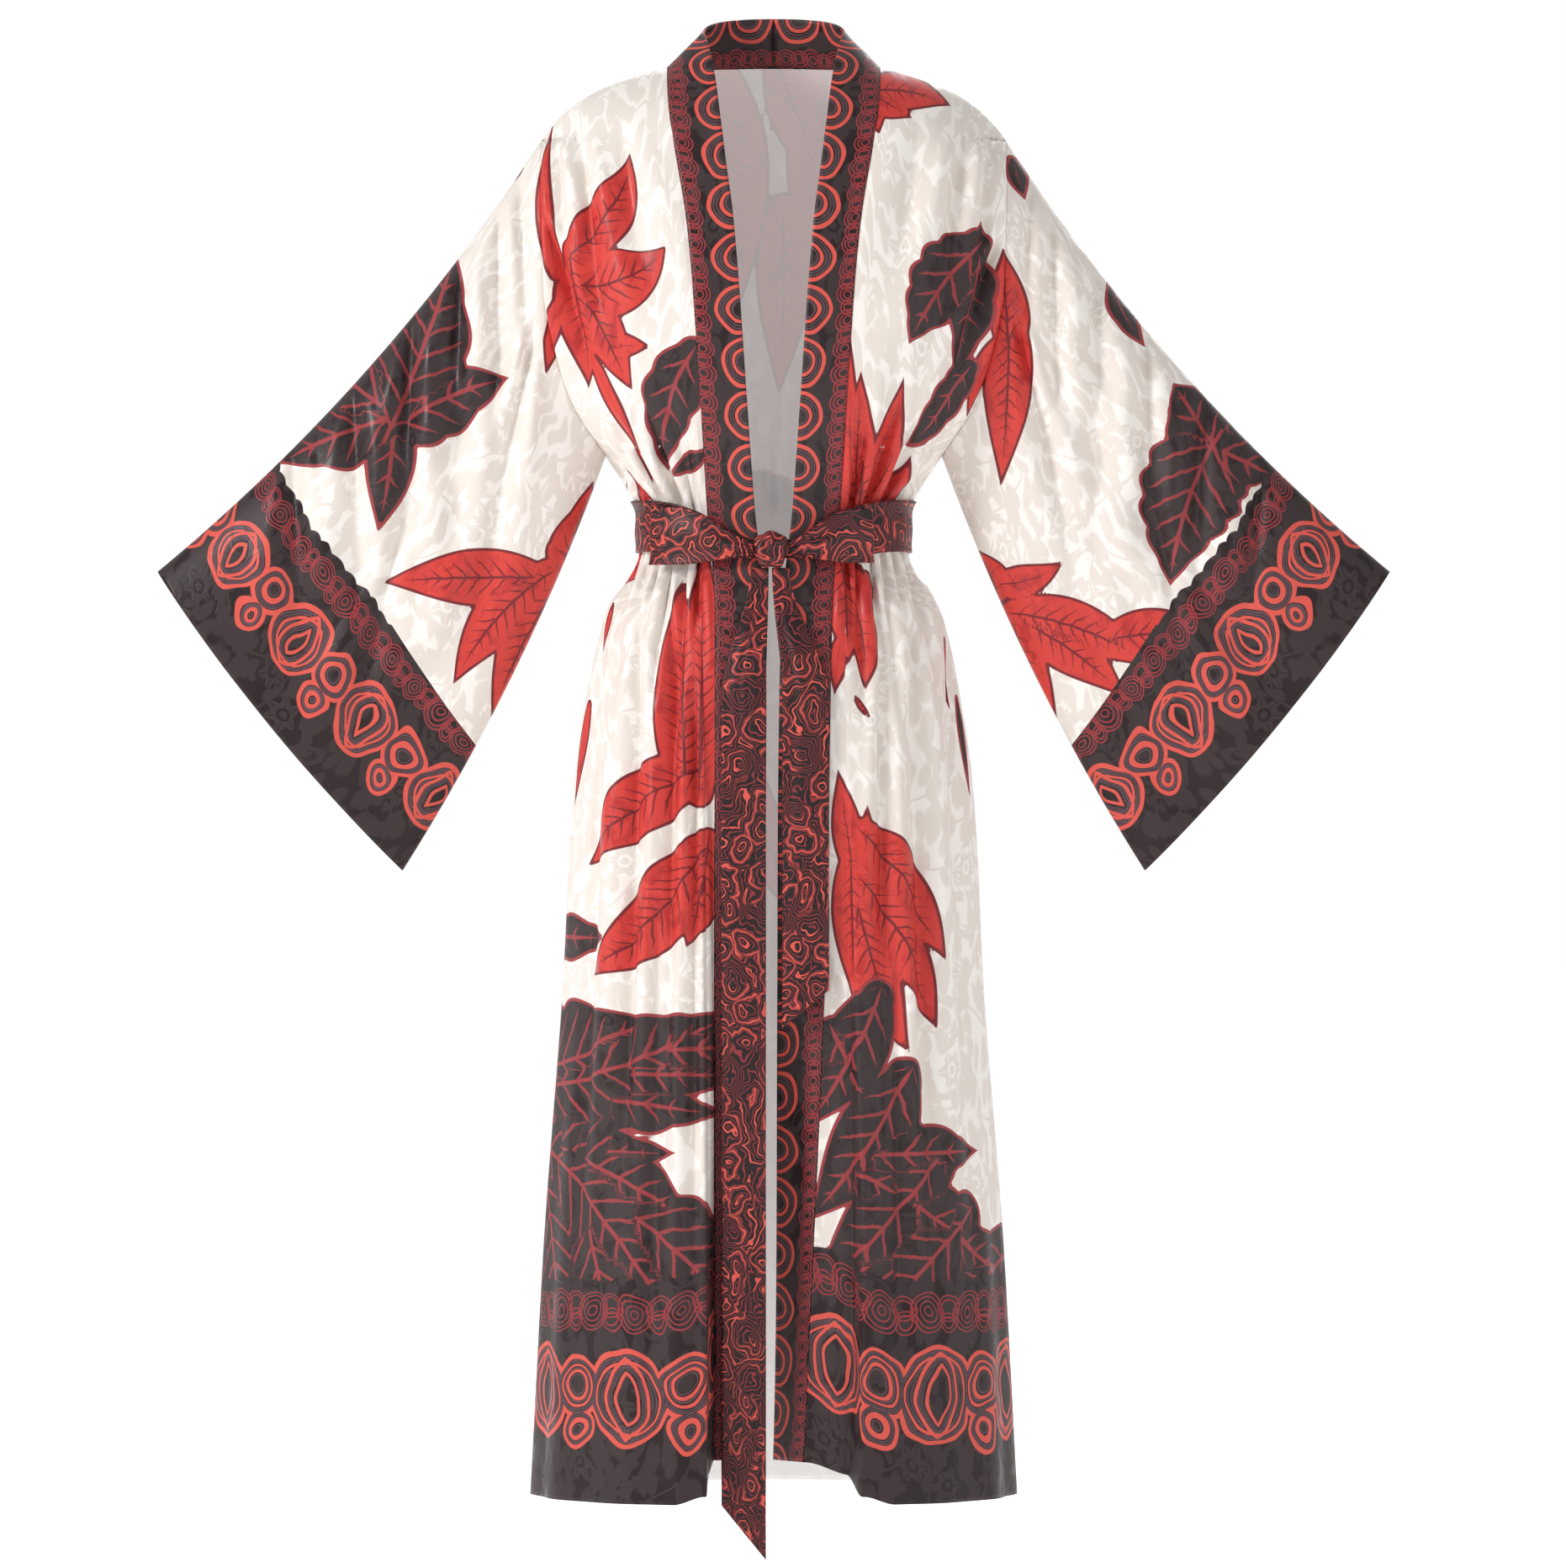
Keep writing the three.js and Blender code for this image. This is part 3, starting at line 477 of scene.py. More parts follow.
# %% Leaves on the back
RED_BACK = [
    (0.8, -12.0, 0.4, -29.4, 2.6, 0.3, 0), (-5.6, 0.6, -3.4, -22.0, 4.0, 0.4, 0),
    (5.0, 0.8, 4.6, -20.6, 3.3, -0.5, 0),
    (0.4, 1.0, 8.6, -12.0, 2.6, -1.0, 0), (4.0, -12.0, 11.0, -21.0, 2.2, -0.8, 0),
    (12.4, -48.6, 2.0, -58.0, 2.3, 1.0, 0), (12.6, -49.0, 7.0, -67.0, 2.6, 1.2, 0),
    (12.8, -49.4, 13.6, -70.0, 2.3, 0.4, 0), (-4.0, -62.0, -14.6, -76.8, 2.6, 1.5, 0),
    (-4.2, -62.6, -6.4, -86.0, 2.7, 0.5, 0), (-3.4, -62.2, 5.2, -80.4, 2.3, -1.2, 0),
    (-4.0, -63.0, -9.0, -52.0, 1.4, 0.4, 0), (-18.8, -22.0, -20.4, -36.0, 1.8, 0.4, 0),
    (34.0, -30.0, 24.0, -44.0, 2.1, 1.0, 0), (34.0, -30.0, 33.6, -50.0, 2.2, 0.5, 0),
    (-24.0, -20.0, -31.8, -36.0, 2.2, -0.8, 0), (-24.0, -21.0, -21.8, -38.6, 1.9, 0.5, 0),
    (34.0, -30.0, 42.0, -39.0, 1.8, -0.8, 0), (-36.0, -52.0, -28.0, -60.0, 1.8, 0.5, 0),
]
DARK_BACK = [
    (-3.0, -37.6, 4.4, -45.0, 3.2, 0.4, 6), (16.6, -14.4, 12.2, -28.8, 3.6, 0.6, 8),
    (-14.8, -26.0, -8.4, -37.4, 2.9, -0.5, 7), (19.6, -84.0, 4.0, -93.6, 4.2, 1.2, 9),
    (19.6, -85.0, 8.6, -106.4, 4.4, 0.9, 9), (20.0, -85.4, 17.8, -110.0, 3.2, 0.3, 7),
    (-20.4, -93.0, -7.4, -99.4, 3.4, -0.8, 7), (-20.4, -94.0, -11.6, -111.6, 3.8, -0.7, 8),
    (-20.6, -94.6, -19.8, -111.0, 2.6, 0.2, 6), (27.0, -44.0, 23.4, -57.0, 2.2, 0.5, 5),
    (-40.0, -36.0, -34.6, -50.6, 3.6, -0.6, 8), (-39.6, -38.0, -44.4, -42.0, 2.2, 0.5, 5),
    (40.6, -33.0, 47.0, -42.8, 2.6, -0.5, 6),
]
print(
    "lobes:", len(RED_FRONT), "red and", len(DARK_FRONT), "dark in front;",
    len(RED_BACK), "and", len(DARK_BACK),
)

# %% [markdown]
# The rows say where a leaf is seen, and the print needs where that is on the flat cloth. Round a body,
# cloth is longer than its shadow, so the distance from the middle is measured along the section. Past
# the armhole the sleeve carries on from there, with the measure that the armhole has at its fullest.

# %% From a place seen to a place on the cloth
FAR = 99.0
SLEEVE_FROM, SLEEVE_LOWEST = -300, -760


def unroll(face, x, z):
    """The distance from the middle along the cloth, for a distance as seen from in front or behind."""
    on_sleeve = (np.abs(x) > column(LEVELS, "side", z)) & (z > SLEEVE_LOWEST)
    z = np.where(on_sleeve, np.maximum(z, SLEEVE_FROM), z)
    side = column(LEVELS, "side", z)
    depth = column(LEVELS, face, z)
    full = side / (1 - (arm_depth(z) / depth) ** 2) ** (1 / ROUND)
    reach = np.minimum(np.abs(x), side)
    across = reach[..., None] * np.linspace(0, 1, 40)
    y = depth[..., None] * np.sqrt(np.maximum(0, 1 - (across / full[..., None]) ** ROUND))
    arc = np.hypot(np.diff(across), np.diff(y)).sum(axis=-1)
    return np.sign(x) * (arc + np.abs(x) - reach)


def lobe(u, z, row, face):
    """For points of the print: which are near the lobe, their distance to its edge, their distance across
    from the rib, and how far along the slanting veins' run they lie. All are in millimetres."""
    x0, z0, x1, z1, half, bend = [10 * v for v in row[:6]]
    t = np.linspace(0, 1, 64)
    run = np.hypot(x1 - x0, z1 - z0)
    arch = bend * 4 * t * (1 - t)
    rib_z = mix(z0, z1, t) + arch * (x1 - x0) / run
    rib_u = unroll(face, mix(x0, x1, t) - arch * (z1 - z0) / run, rib_z)
    tangent = np.stack([np.gradient(rib_u), np.gradient(rib_z)], axis=-1)
    length = np.cumsum(np.linalg.norm(tangent, axis=-1))
    tangent = tangent / np.linalg.norm(tangent, axis=-1, keepdims=True)
    room = half * 1.2 + 14
    near = (u > rib_u.min() - room) & (u < rib_u.max() + room)
    near &= (z > rib_z.min() - room) & (z < rib_z.max() + room)
    pu, pz = u[near], z[near]
    away = np.hypot(pu[:, None] - rib_u, pz[:, None] - rib_z)
    i = away.argmin(axis=1)
    du, dz = pu - rib_u[i], pz - rib_z[i]
    across = du * tangent[i, 1] - dz * tangent[i, 0]
    along = length[i] + du * tangent[i, 0] + dz * tangent[i, 1]
    share = np.clip((along - length[0]) / (length[-1] - length[0]), 0, 1)
    past = np.maximum(along - length[-1], length[0] - along)
    wide = half * np.sin(math.pi * (0.16 + 0.84 * share) ** 0.86) ** 1.08
    if row[6]:
        wide = wide * (0.9 + 0.14 * np.abs(np.sin(math.pi * row[6] * share)))
    edge = np.hypot(across, np.maximum(past, 0)) - wide
    return near, edge, across, along - 0.9 * np.abs(across)


def leaves(u, z, rows, face):
    """The edge, rib and vein distances of the lobe that each point lies deepest in. Lobes that overlap so
    make one leaf with one outline."""
    shape = np.stack([np.full(u.shape, v) for v in (FAR, FAR, 0.0)], axis=-1)
    for row in rows:
        near, edge, across, vein = lobe(u, z, row, face)
        first = edge < shape[near, 0]
        shape[near] = np.where(first[:, None], np.stack([edge, across, vein], axis=-1), shape[near])
    return shape


def print_marks(u, z, face):
    """Every mark of the leaf print, for the cloth of the front or of the back."""
    lists = {"front": (RED_FRONT, DARK_FRONT), "back": (RED_BACK, DARK_BACK)}[face]
    return {"red_leaf": leaves(u, z, lists[0], face), "dark_leaf": leaves(u, z, lists[1], face)}


# %% [markdown]
# ## Shader arithmetic
#
# The finishes below are formulas. Wiring Math nodes by hand hides them, so a small class wraps a socket
# and overloads the operators: an expression in Python then lays its own nodes. One method makes every
# other kind of node, and colours are mixed by Mix nodes, because a Math node would turn them grey.

# %% A socket that can be added and multiplied
class Value:
    def __init__(self, finish, socket):
        self.finish = finish
        self.socket = socket

    def __add__(self, other):
        return self.finish.math("ADD", self, other)

    def __sub__(self, other):
        return self.finish.math("SUBTRACT", self, other)

    def __rsub__(self, other):
        return self.finish.math("SUBTRACT", other, self)

    def __mul__(self, other):
        return self.finish.math("MULTIPLY", self, other)

    def __truediv__(self, other):
        return self.finish.math("DIVIDE", self, other)

    def __abs__(self):
        return self.finish.math("ABSOLUTE", self)

    __radd__ = __add__
    __rmul__ = __mul__


class Finish:
    """A material that is built up node by node."""

    def __init__(self, name):
        self.material = bpy.data.materials.new(name)
        self.material.use_nodes = True
        self.tree = self.material.node_tree
        self.shader = self.tree.nodes["Principled BSDF"]

    def node(self, kind, settings=None, values=None, output=0):
        made = self.tree.nodes.new(kind)
        for key, value in (settings or {}).items():
            setattr(made, key, value)
        for key, value in (values or {}).items():
            if isinstance(value, Value):
                self.tree.links.new(value.socket, made.inputs[key])
            else:
                made.inputs[key].default_value = value
        return Value(self, made.outputs[output])

    def math(self, operation, *values):
        return self.node("ShaderNodeMath", {"operation": operation}, dict(enumerate(values)))

    def smooth(self, low, high, value):
        values = {"Value": value, "From Min": low, "From Max": high}
        return self.node("ShaderNodeMapRange", {"interpolation_type": "SMOOTHSTEP"}, values)

    def paint(self, under, over, amount):
        values = {0: amount, 6: under, 7: over}
        return self.node("ShaderNodeMix", {"data_type": "RGBA"}, values, output=2)

    def vector(self, operation, *values, output=0):
        return self.node("ShaderNodeVectorMath", {"operation": operation}, dict(enumerate(values)), output)

    def join(self, x, y, z=0.0):
        return self.node("ShaderNodeCombineXYZ", {}, {0: x, 1: y, 2: z})

    def split(self, vector):
        made = self.node("ShaderNodeSeparateXYZ", {}, {0: vector})
        sockets = made.socket.node.outputs
        return [Value(self, socket) for socket in sockets]

    def noise(self, place, scale, detail=2.0):
        return self.node("ShaderNodeTexNoise", {}, {"Vector": place, "Scale": scale, "Detail": detail})

    def line(self, distance, half, soft=0.35):
        return 1 - self.smooth(half - soft, half + soft, abs(distance))

    def within(self, distance, soft=0.5):
        return 1 - self.smooth(-soft, soft, distance)

    def most(self, *masks):
        found = masks[0]
        for mask in masks[1:]:
            found = self.math("MAXIMUM", found, mask)
        return found

    def round_from(self, x, y, cx, cy, radius):
        dx, dy = x - cx, y - cy
        return self.math("SQRT", dx * dx + dy * dy) - radius

    def done(self, links=None, numbers=None):
        for key, value in (links or {}).items():
            self.tree.links.new(value.socket, self.shader.inputs[key])
        for key, value in (numbers or {}).items():
            self.shader.inputs[key].default_value = value
        print(f"finish {self.material.name}: {len(self.tree.nodes)} nodes")
        return self.material


# %% [markdown]
# ## Finishes
#
# The ground is a damask: the same ivory yarn woven two ways, so that flowers and scrolling leaves show
# only as a slightly warmer, duller tone. A photographed weave could be tiled, but it would repeat. Here
# petals turn round the cells of a Voronoi texture, leaflets are stretched cells of two more, and
# curling stems are the level lines of a noise.

# %% The damask ground
IVORY = (0.865, 0.815, 0.77, 1)
IVORY_DULL = (0.64, 0.56, 0.495, 1)
RED = (0.60, 0.046, 0.036, 1)
RED_DEEP = (0.42, 0.026, 0.024, 1)
MAROON = (0.17, 0.016, 0.021, 1)
VEIN_RED = (0.30, 0.040, 0.045, 1)
INK = (0.020, 0.0105, 0.0115, 1)
INK_LIGHT = (0.040, 0.026, 0.027, 1)
CORAL = (0.64, 0.088, 0.066, 1)
DULL_RED = (0.30, 0.036, 0.042, 1)
MAUVE = (0.115, 0.062, 0.075, 1)
REVERSE = (0.74, 0.735, 0.735, 1)


def flat_mm(finish):
    uv = finish.node("ShaderNodeUVMap", {"uv_map": "cloth"})
    return finish.node("ShaderNodeVectorMath", {"operation": "SCALE"}, {0: uv, 3: 1 / MM})


def damask(finish, place):
    warp = finish.node("ShaderNodeTexNoise", {}, {"Vector": place, "Scale": 0.016, "Detail": 1.0}, output=1)
    bent = finish.vector("ADD", place, finish.node(
        "ShaderNodeVectorMath", {"operation": "SCALE"}, {0: warp, 3: 26.0}
    ))
    cells = {"Vector": bent, "Scale": 0.0105, "Randomness": 0.7}
    heart = finish.node("ShaderNodeTexVoronoi", {"voronoi_dimensions": "2D"}, cells, output="Position")
    x, y, _ = finish.split(finish.vector("SUBTRACT", bent, heart))
    far = finish.math("SQRT", x * x + y * y)
    turn = finish.math("ARCTAN2", y, x)
    flower = finish.within(far - 14.0 - finish.math("COSINE", turn * 6.0) * 3.0, 0.8)
    flower = flower * finish.smooth(0.9, 1.9, abs(far - 5.0))
    flower = flower * finish.smooth(0.05, 0.16, abs(finish.math("SINE", turn * 3.0)))
    curled = finish.math("COSINE", turn * 5.0 + far * 0.17)
    beads = finish.math("COSINE", far * 0.8 + turn * 4.0) * 0.3
    plumes = (
        finish.smooth(0.42, 0.62, curled + beads) * finish.smooth(19.0, 21.0, far)
        * finish.smooth(52.0, 46.0, far)
    )
    masks = [flower, plumes]
    for angle, scale in ((0.7, 0.052), (-0.9, 0.066)):
        turned = finish.node("ShaderNodeMapping", {}, {
            "Vector": bent, "Rotation": (0, 0, angle), "Scale": (1, 0.45, 1),
        })
        cell = {"Vector": turned, "Scale": scale, "Randomness": 0.9}
        leaf = finish.node("ShaderNodeTexVoronoi", {"voronoi_dimensions": "2D"}, cell)
        masks.append(finish.within((leaf - 0.33) * 12.0, 0.9) * finish.smooth(15.0, 18.0, far))
    stems = finish.noise(bent, 0.021, 0.0)
    masks.append(finish.line((stems - 0.5) * 60.0, 0.9, 0.5))
    return finish.most(*masks)


# %% [markdown]
# The leaves are cut out of the distances stored on the mesh. Each has an outline a few millimetres
# wide, maroon round the red leaves and dull red round the dark ones, veins in the same ink, and a body
# whose tone wanders a little, as screen print does on damask. The reverse shows the print as a ghost.
# Thin satin also lets light through, and a weak glow in its own colour stands for that.

# %% Leaves over the ground
def leaf_layer(finish, under, mark, body, body_dark, ink, rim, vein_half, pitch, pattern):
    """rim is how wide the outline is, vein_half half a vein's width beside the rib, and pitch the way from
    vein to vein, in mm."""
    shape = finish.node("ShaderNodeAttribute", {"attribute_name": mark + "_leaf"}, output="Vector")
    edge, across, vein = finish.split(shape)
    place = flat_mm(finish)
    drawn = finish.noise(place, 0.07, 2.0) * 4.0 - 2.0
    shade = finish.noise(place, 0.035, 3.0) * 0.75 + pattern * 0.16
    leaf = finish.paint(body_dark, body, finish.smooth(0.22, 0.55, shade))
    fade = finish.smooth(-rim - 2.0, -rim - 18.0, edge)
    row = finish.math("FLOORED_MODULO", vein + drawn * 1.8, pitch) - pitch / 2
    side_veins = finish.within(abs(row) * 0.74 - fade * vein_half, 0.45) * finish.smooth(0.04, 0.2, fade)
    rib = (
        finish.within(abs(across + drawn * 0.5) - fade * vein_half * 1.25, 0.45)
        * finish.smooth(0.02, 0.1, fade)
    )
    outline = finish.smooth(-rim - 0.5, -rim + 0.5, edge + drawn * 0.45)
    leaf = finish.paint(leaf, ink, finish.most(side_veins * 0.9, rib, outline))
    return finish.paint(under, leaf, finish.within(edge, 0.45))


def printed(finish, pattern):
    ground = finish.paint(IVORY, IVORY_DULL, pattern * 0.55)
    red = leaf_layer(finish, ground, "red", RED, RED_DEEP, MAROON, 2.6, 0.9, 12.0, pattern)
    return leaf_layer(finish, red, "dark", INK_LIGHT, INK, VEIN_RED, 3.2, 1.5, 23.0, pattern)


def satin():
    finish = Finish("printed_satin")
    place = flat_mm(finish)
    pattern = damask(finish, place)
    height = pattern * 0.5 + finish.noise(place, 0.9, 2.0) * 0.25
    relief = finish.node("ShaderNodeBump", {}, {"Strength": 0.25, "Distance": 0.0006, "Height": height})
    links = {"Base Color": printed(finish, pattern), "Roughness": 0.34 + pattern * 0.16, "Normal": relief}
    return finish.done(links, {"Specular IOR Level": 0.3, "Sheen Weight": 0.04, "Sheen Roughness": 0.4})


def reverse():
    finish = Finish("satin_reverse")
    place = flat_mm(finish)
    pattern = damask(finish, place)
    ghost = finish.paint(printed(finish, pattern), REVERSE, 0.80)
    relief = finish.node("ShaderNodeBump", {}, {"Strength": 0.2, "Distance": 0.0005, "Height": pattern})
    links = {"Base Color": ghost, "Emission Color": ghost, "Normal": relief}
    return finish.done(links, {"Emission Strength": 0.19, "Roughness": 0.6, "Specular IOR Level": 0.2})


# %% [markdown]
# ## Borders
#
# The hem and the cuffs end in a dark border with a small-scalloped upper edge: a plain strip, a row of
# bold coral ornament with thin echo lines, and a row of fine dull-red circles. The ornament here is a
# general one: pointed ovals with rings between them. Each motif is a distance, and its lines are bands
# of that distance, so the echoes follow the shape by themselves. A little noise in the place makes the
# lines look drawn by hand.

# %% The border print
def echo(finish, distance, bold, thins):
    """Bold and thin line masks round one shape, each list being distances from its edge and half widths."""
    thick = finish.most(*[finish.line(distance - at, half) for at, half in bold])
    thin = finish.most(*[finish.line(distance - at, half) for at, half in thins])
    return thick, thin


def shaken(finish, place, amount):
    wobble = finish.node("ShaderNodeTexNoise", {}, {"Vector": place, "Scale": 0.03, "Detail": 0.6}, output=1)
    wobble = finish.vector("SUBTRACT", wobble, (0.5, 0.5, 0.5))
    move = finish.node("ShaderNodeVectorMath", {"operation": "SCALE"}, {0: wobble, 3: amount})
    return finish.split(finish.vector("ADD", place, move))


def border_print(finish, depth, period):
    """depth is the border's depth, and period the ornament's repeat, both in mm. v is 0 at the edge of
    the cloth."""
    place = flat_mm(finish)
    u, v, _ = shaken(finish, place, 16.0)
    plain, row = 0.225 * depth, 0.50 * depth
    half = row / 2
    x = abs(finish.math("FLOORED_MODULO", u, period) - period / 2)
    side = period / 2 - x
    y = v - (plain + half)
    big = finish.round_from(x, y, 0, 0.06 * half, 0.86 * half)
    small = finish.round_from(side, y, 0, 0.22 * half, 0.58 * half)
    foot = finish.round_from(side, y, 0, -0.60 * half, 0.40 * half)
    whole = finish.math("MINIMUM", finish.math("MINIMUM", big, small), foot)
    thick, thin = echo(finish, whole, [(-1.0, 2.1), (-9.6, 1.2)], [(-4.6, 0.6), (-6.6, 0.5), (-13.0, 0.5)])
    oval = finish.round_from(x, y - 0.06 * half, -0.40 * half, 0, 0.84 * half)
    a, b = echo(finish, oval, [(-0.5, 1.7), (-10.5, 1.5)], [(-3.8, 0.6), (-6.0, 0.5), (3.6, 0.5)])
    thick, thin = finish.most(thick, a), finish.most(thin, b)
    for at, size in ((0.22, 0.26), (-0.60, 0.16)):
        ring = finish.round_from(side, y, 0, at * half, size * half)
        a, b = echo(finish, ring, [(0, 1.6)], [(-3.8, 0.5), (3.2, 0.5)])
        thick, thin = finish.most(thick, a), finish.most(thin, b)
    scroll_y = v - (plain + row + 0.14 * depth)
    step = 0.24 * depth
    wheels = []
    for shift, lift, radii in (
        (0.0, 0.0, (0.38, 0.30, 0.20, 0.09)), (0.5, 0.10, (0.24, 0.17)), (0.5, -0.16, (0.20, 0.12)),
    ):
        wx = finish.math("FLOORED_MODULO", u + shift * step, step) - step / 2
        wheel = finish.round_from(wx, scroll_y, 0, lift * step, 0)
        wheels += [finish.line(wheel - radius * step, 0.6, 0.3) for radius in radii]
    upper = depth + 1.0 + 3.0 * abs(finish.math("SINE", u * (math.pi / 17.0)))
    return thick, thin, finish.most(*wheels), finish.within(v - upper, 0.5)


def border(name, depth, period):
    finish = Finish(name)
    thick, thin, wheels, within = border_print(finish, depth, period)
    place = flat_mm(finish)
    pattern = damask(finish, place)
    colour = finish.paint(INK, INK_LIGHT, pattern)
    colour = finish.paint(colour, MAUVE, thin)
    colour = finish.paint(colour, DULL_RED, wheels)
    colour = finish.paint(colour, CORAL, thick)
    colour = finish.paint(printed(finish, pattern), colour, within)
    relief = finish.node("ShaderNodeBump", {}, {"Strength": 0.25, "Distance": 0.0006, "Height": pattern})
    links = {"Base Color": colour, "Roughness": 0.36 + pattern * 0.14, "Normal": relief}
    return finish.done(links, {"Specular IOR Level": 0.25, "Sheen Weight": 0.02})


# %% [markdown]
# The neckband has a row of rings, cut through by its free edge, and fine wheels along its seam. The
# sash is printed all over with marbled swirls: rings round the cells of a Voronoi texture, bent by
# noise, so that each swirl has an eye.

# %% The neckband and the sash
def band_print():
    finish = Finish("neckband_print")
    place = flat_mm(finish)
    u, v, _ = shaken(finish, place, 9.0)
    repeat = 48.0
    y = finish.math("FLOORED_MODULO", v, repeat) - repeat / 2
    ring = finish.round_from(u, y, 0, 0, 22.0)
    thick, thin = echo(finish, ring, [(-1.0, 1.7), (-11.0, 1.5)], [(-4.6, 0.5), (-7.2, 0.5), (-14.5, 0.6)])
    step = 24.0
    wheels = []
    for shift, radii in ((0.0, (9.5, 6.5, 3.4)), (0.5, (7.0, 4.2))):
        wy = finish.math("FLOORED_MODULO", v + shift * step, step) - step / 2
        wheel = finish.round_from(u, wy, 37.0, 0, 0)
        wheels += [finish.line(wheel - radius, 0.6) for radius in radii]
    pattern = damask(finish, place)
    colour = finish.paint(INK, INK_LIGHT, pattern)
    colour = finish.paint(colour, MAUVE, thin)
    colour = finish.paint(colour, DULL_RED, finish.most(*wheels))
    colour = finish.paint(colour, CORAL, thick)
    stitches = finish.line(u - 43.6, 0.4) * finish.smooth(-0.2, 0.2, finish.math("SINE", v * 2.4))
    height = pattern * 0.4 - stitches
    relief = finish.node("ShaderNodeBump", {}, {"Strength": 0.3, "Distance": 0.0008, "Height": height})
    links = {"Base Color": colour, "Roughness": 0.38 + pattern * 0.12, "Normal": relief}
    return finish.done(links, {"Specular IOR Level": 0.25, "Sheen Weight": 0.02})


def sash_print():
    finish = Finish("sash_print")
    place = flat_mm(finish)
    warp = finish.node("ShaderNodeTexNoise", {}, {"Vector": place, "Scale": 0.035, "Detail": 2.0}, output=1)
    bent = finish.vector("ADD", place, finish.node(
        "ShaderNodeVectorMath", {"operation": "SCALE"}, {0: warp, 3: 34.0}
    ))
    cells = {"Vector": bent, "Scale": 0.031, "Randomness": 0.8}
    eye = finish.node("ShaderNodeTexVoronoi", {"voronoi_dimensions": "2D"}, cells)
    swirl = finish.noise(bent, 0.05, 1.0)
    waves = finish.math("SINE", eye * 24.0 + swirl * 9.0)
    fine = finish.math("SINE", eye * 60.0 + swirl * 24.0)
    thick = finish.smooth(0.8, 0.92, waves) * finish.smooth(0.36, 0.46, finish.noise(bent, 0.028, 0.0))
    thin = finish.smooth(0.6, 0.8, fine)
    colour = finish.paint(INK, DULL_RED, thin * 0.8)
    colour = finish.paint(colour, CORAL, thick)
    relief = finish.node("ShaderNodeBump", {}, {
        "Strength": 0.2, "Distance": 0.0005, "Height": finish.noise(place, 0.8),
    })
    links = {"Base Color": colour, "Normal": relief}
    return finish.done(links, {"Roughness": 0.4, "Specular IOR Level": 0.25, "Sheen Weight": 0.02})


HEM_BORDER, CUFF_BORDER = 198.0, 146.0
satin_finish = satin()
reverse_finish = reverse()
hem_finish = border("hem_border", HEM_BORDER, 118.0)
cuff_finish = border("cuff_border", CUFF_BORDER, 98.0)
band_finish = band_print()
sash_finish = sash_print()

# %% [markdown]
# ## The panels
#
# Back and fronts come from the same surface. Broad flutes and the sash's gathers are drawn in by
# formula, and the creases above are added along the cloth's own normal. The flat place of each point is
# measured along its row and down its column, from the middle and from the hem.

# %% Back and fronts
FLUTES = table("at width depth", [(0.28, 0.1, 7), (0.56, 0.12, 5), (0.83, 0.09, 6)])
GATHERS = {
    "front": table("at width depth up down lean", [
        (0.13, 0.045, 4.5, 70, 150, 0.1), (0.3, 0.055, 6.0, 130, 210, 0.16),
        (0.46, 0.05, 5.5, 160, 130, 0.22),
        (0.63, 0.06, 6.0, 120, 240, 0.14), (0.81, 0.055, 5.0, 90, 170, 0.1),
    ]),
    "back": table("at width depth up down lean", [
        ((i + 0.55) / 6.1, 0.05, 6.5 * (1 - 0.1 * ((i + 1) % 3)), 140, 210 * (1 - 0.2 * (i % 2)), 0.05)
        for i in range(6)
    ]),
}


def drawn_in(face):
    def depth(share, z):
        gathers = GATHERS[face]
        far = z - WAIST
        total = 0 * z
        for at, width, deep, up, down, lean in zip(*gathers.values()):
            run = np.where(far > 0, up, down)
            total = total + deep * bump((share - at - lean * np.abs(far) / 1000) / width) * bump(far / run)
        for at, width, deep in zip(*FLUTES.values()):
            total = total + deep * bump((share - at) / width) * ease(-560, HEM, z)
        return total

    return depth


def sunk_by(points, rows, share):
    """The points, moved along their own normals by the creases in rows. Seams stay where they are, and no
    ridge rises where the belt lies over it."""
    normal = unit_normals(points, False)
    outside = np.sum(normal * (points * (1, 1, 0)), axis=-1).mean() > 0
    depth = crease_depth(points[..., 0], points[..., 2], rows)
    depth = depth * ease(-30, -130, points[..., 2]) * ease(1, 0.94, share)
    under_belt = ease(52, 34, np.abs(points[..., 2] - WAIST))
    depth = np.maximum(depth, 0) + np.minimum(depth, 0) * (1 - under_belt)
    if points[..., 0].min() * points[..., 0].max() >= 0:
        depth = depth * ease(0, 0.05, share)
    return points - normal * (depth * (1 if outside else -1))[..., None]


def panel_rows(over, chest, skirt):
    down = np.linspace(0, 1, skirt)[1:]
    return np.concatenate([np.linspace(0, 1, over), np.linspace(1, 2, chest)[1:], 2 + down**1.06])


AXIS = (0, 0, -700)
LOOKS = {
    "satin": [satin_finish, reverse_finish, hem_finish],
    "sleeve": [satin_finish, reverse_finish, cuff_finish],
    "band": [band_finish, band_finish],
    "sash": [sash_finish, sash_finish],
}
for side in ("left", "right"):
    shares = np.concatenate([np.linspace(0, FOLD_SHARE, 27)[:-1], np.linspace(FOLD_SHARE, 1, 84)])
    share, row = np.meshgrid(shares, panel_rows(26, 78, 250))
    base = panel("front", side, share, row, drawn_in("front"))
    points = sunk_by(base, CHEST[side] + SKIRT[side], share)
    seam = unroll("front", np.abs(base[:, :1, 0]), base[:, :1, 2])
    u = HAND[side] * (seam + lengths(points, 1))
    v = lengths(points[::-1], 0)[::-1]
    marks = print_marks(unroll("front", base[..., 0], base[..., 2]), base[..., 2], "front")
    flat = np.stack([u, v], axis=-1)
    border_rows = v.mean(axis=1) < HEM_BORDER + 8
    shell("front_" + side, points, flat, CLOTH_WALL, AXIS, LOOKS["satin"], border_rows, marks=marks)

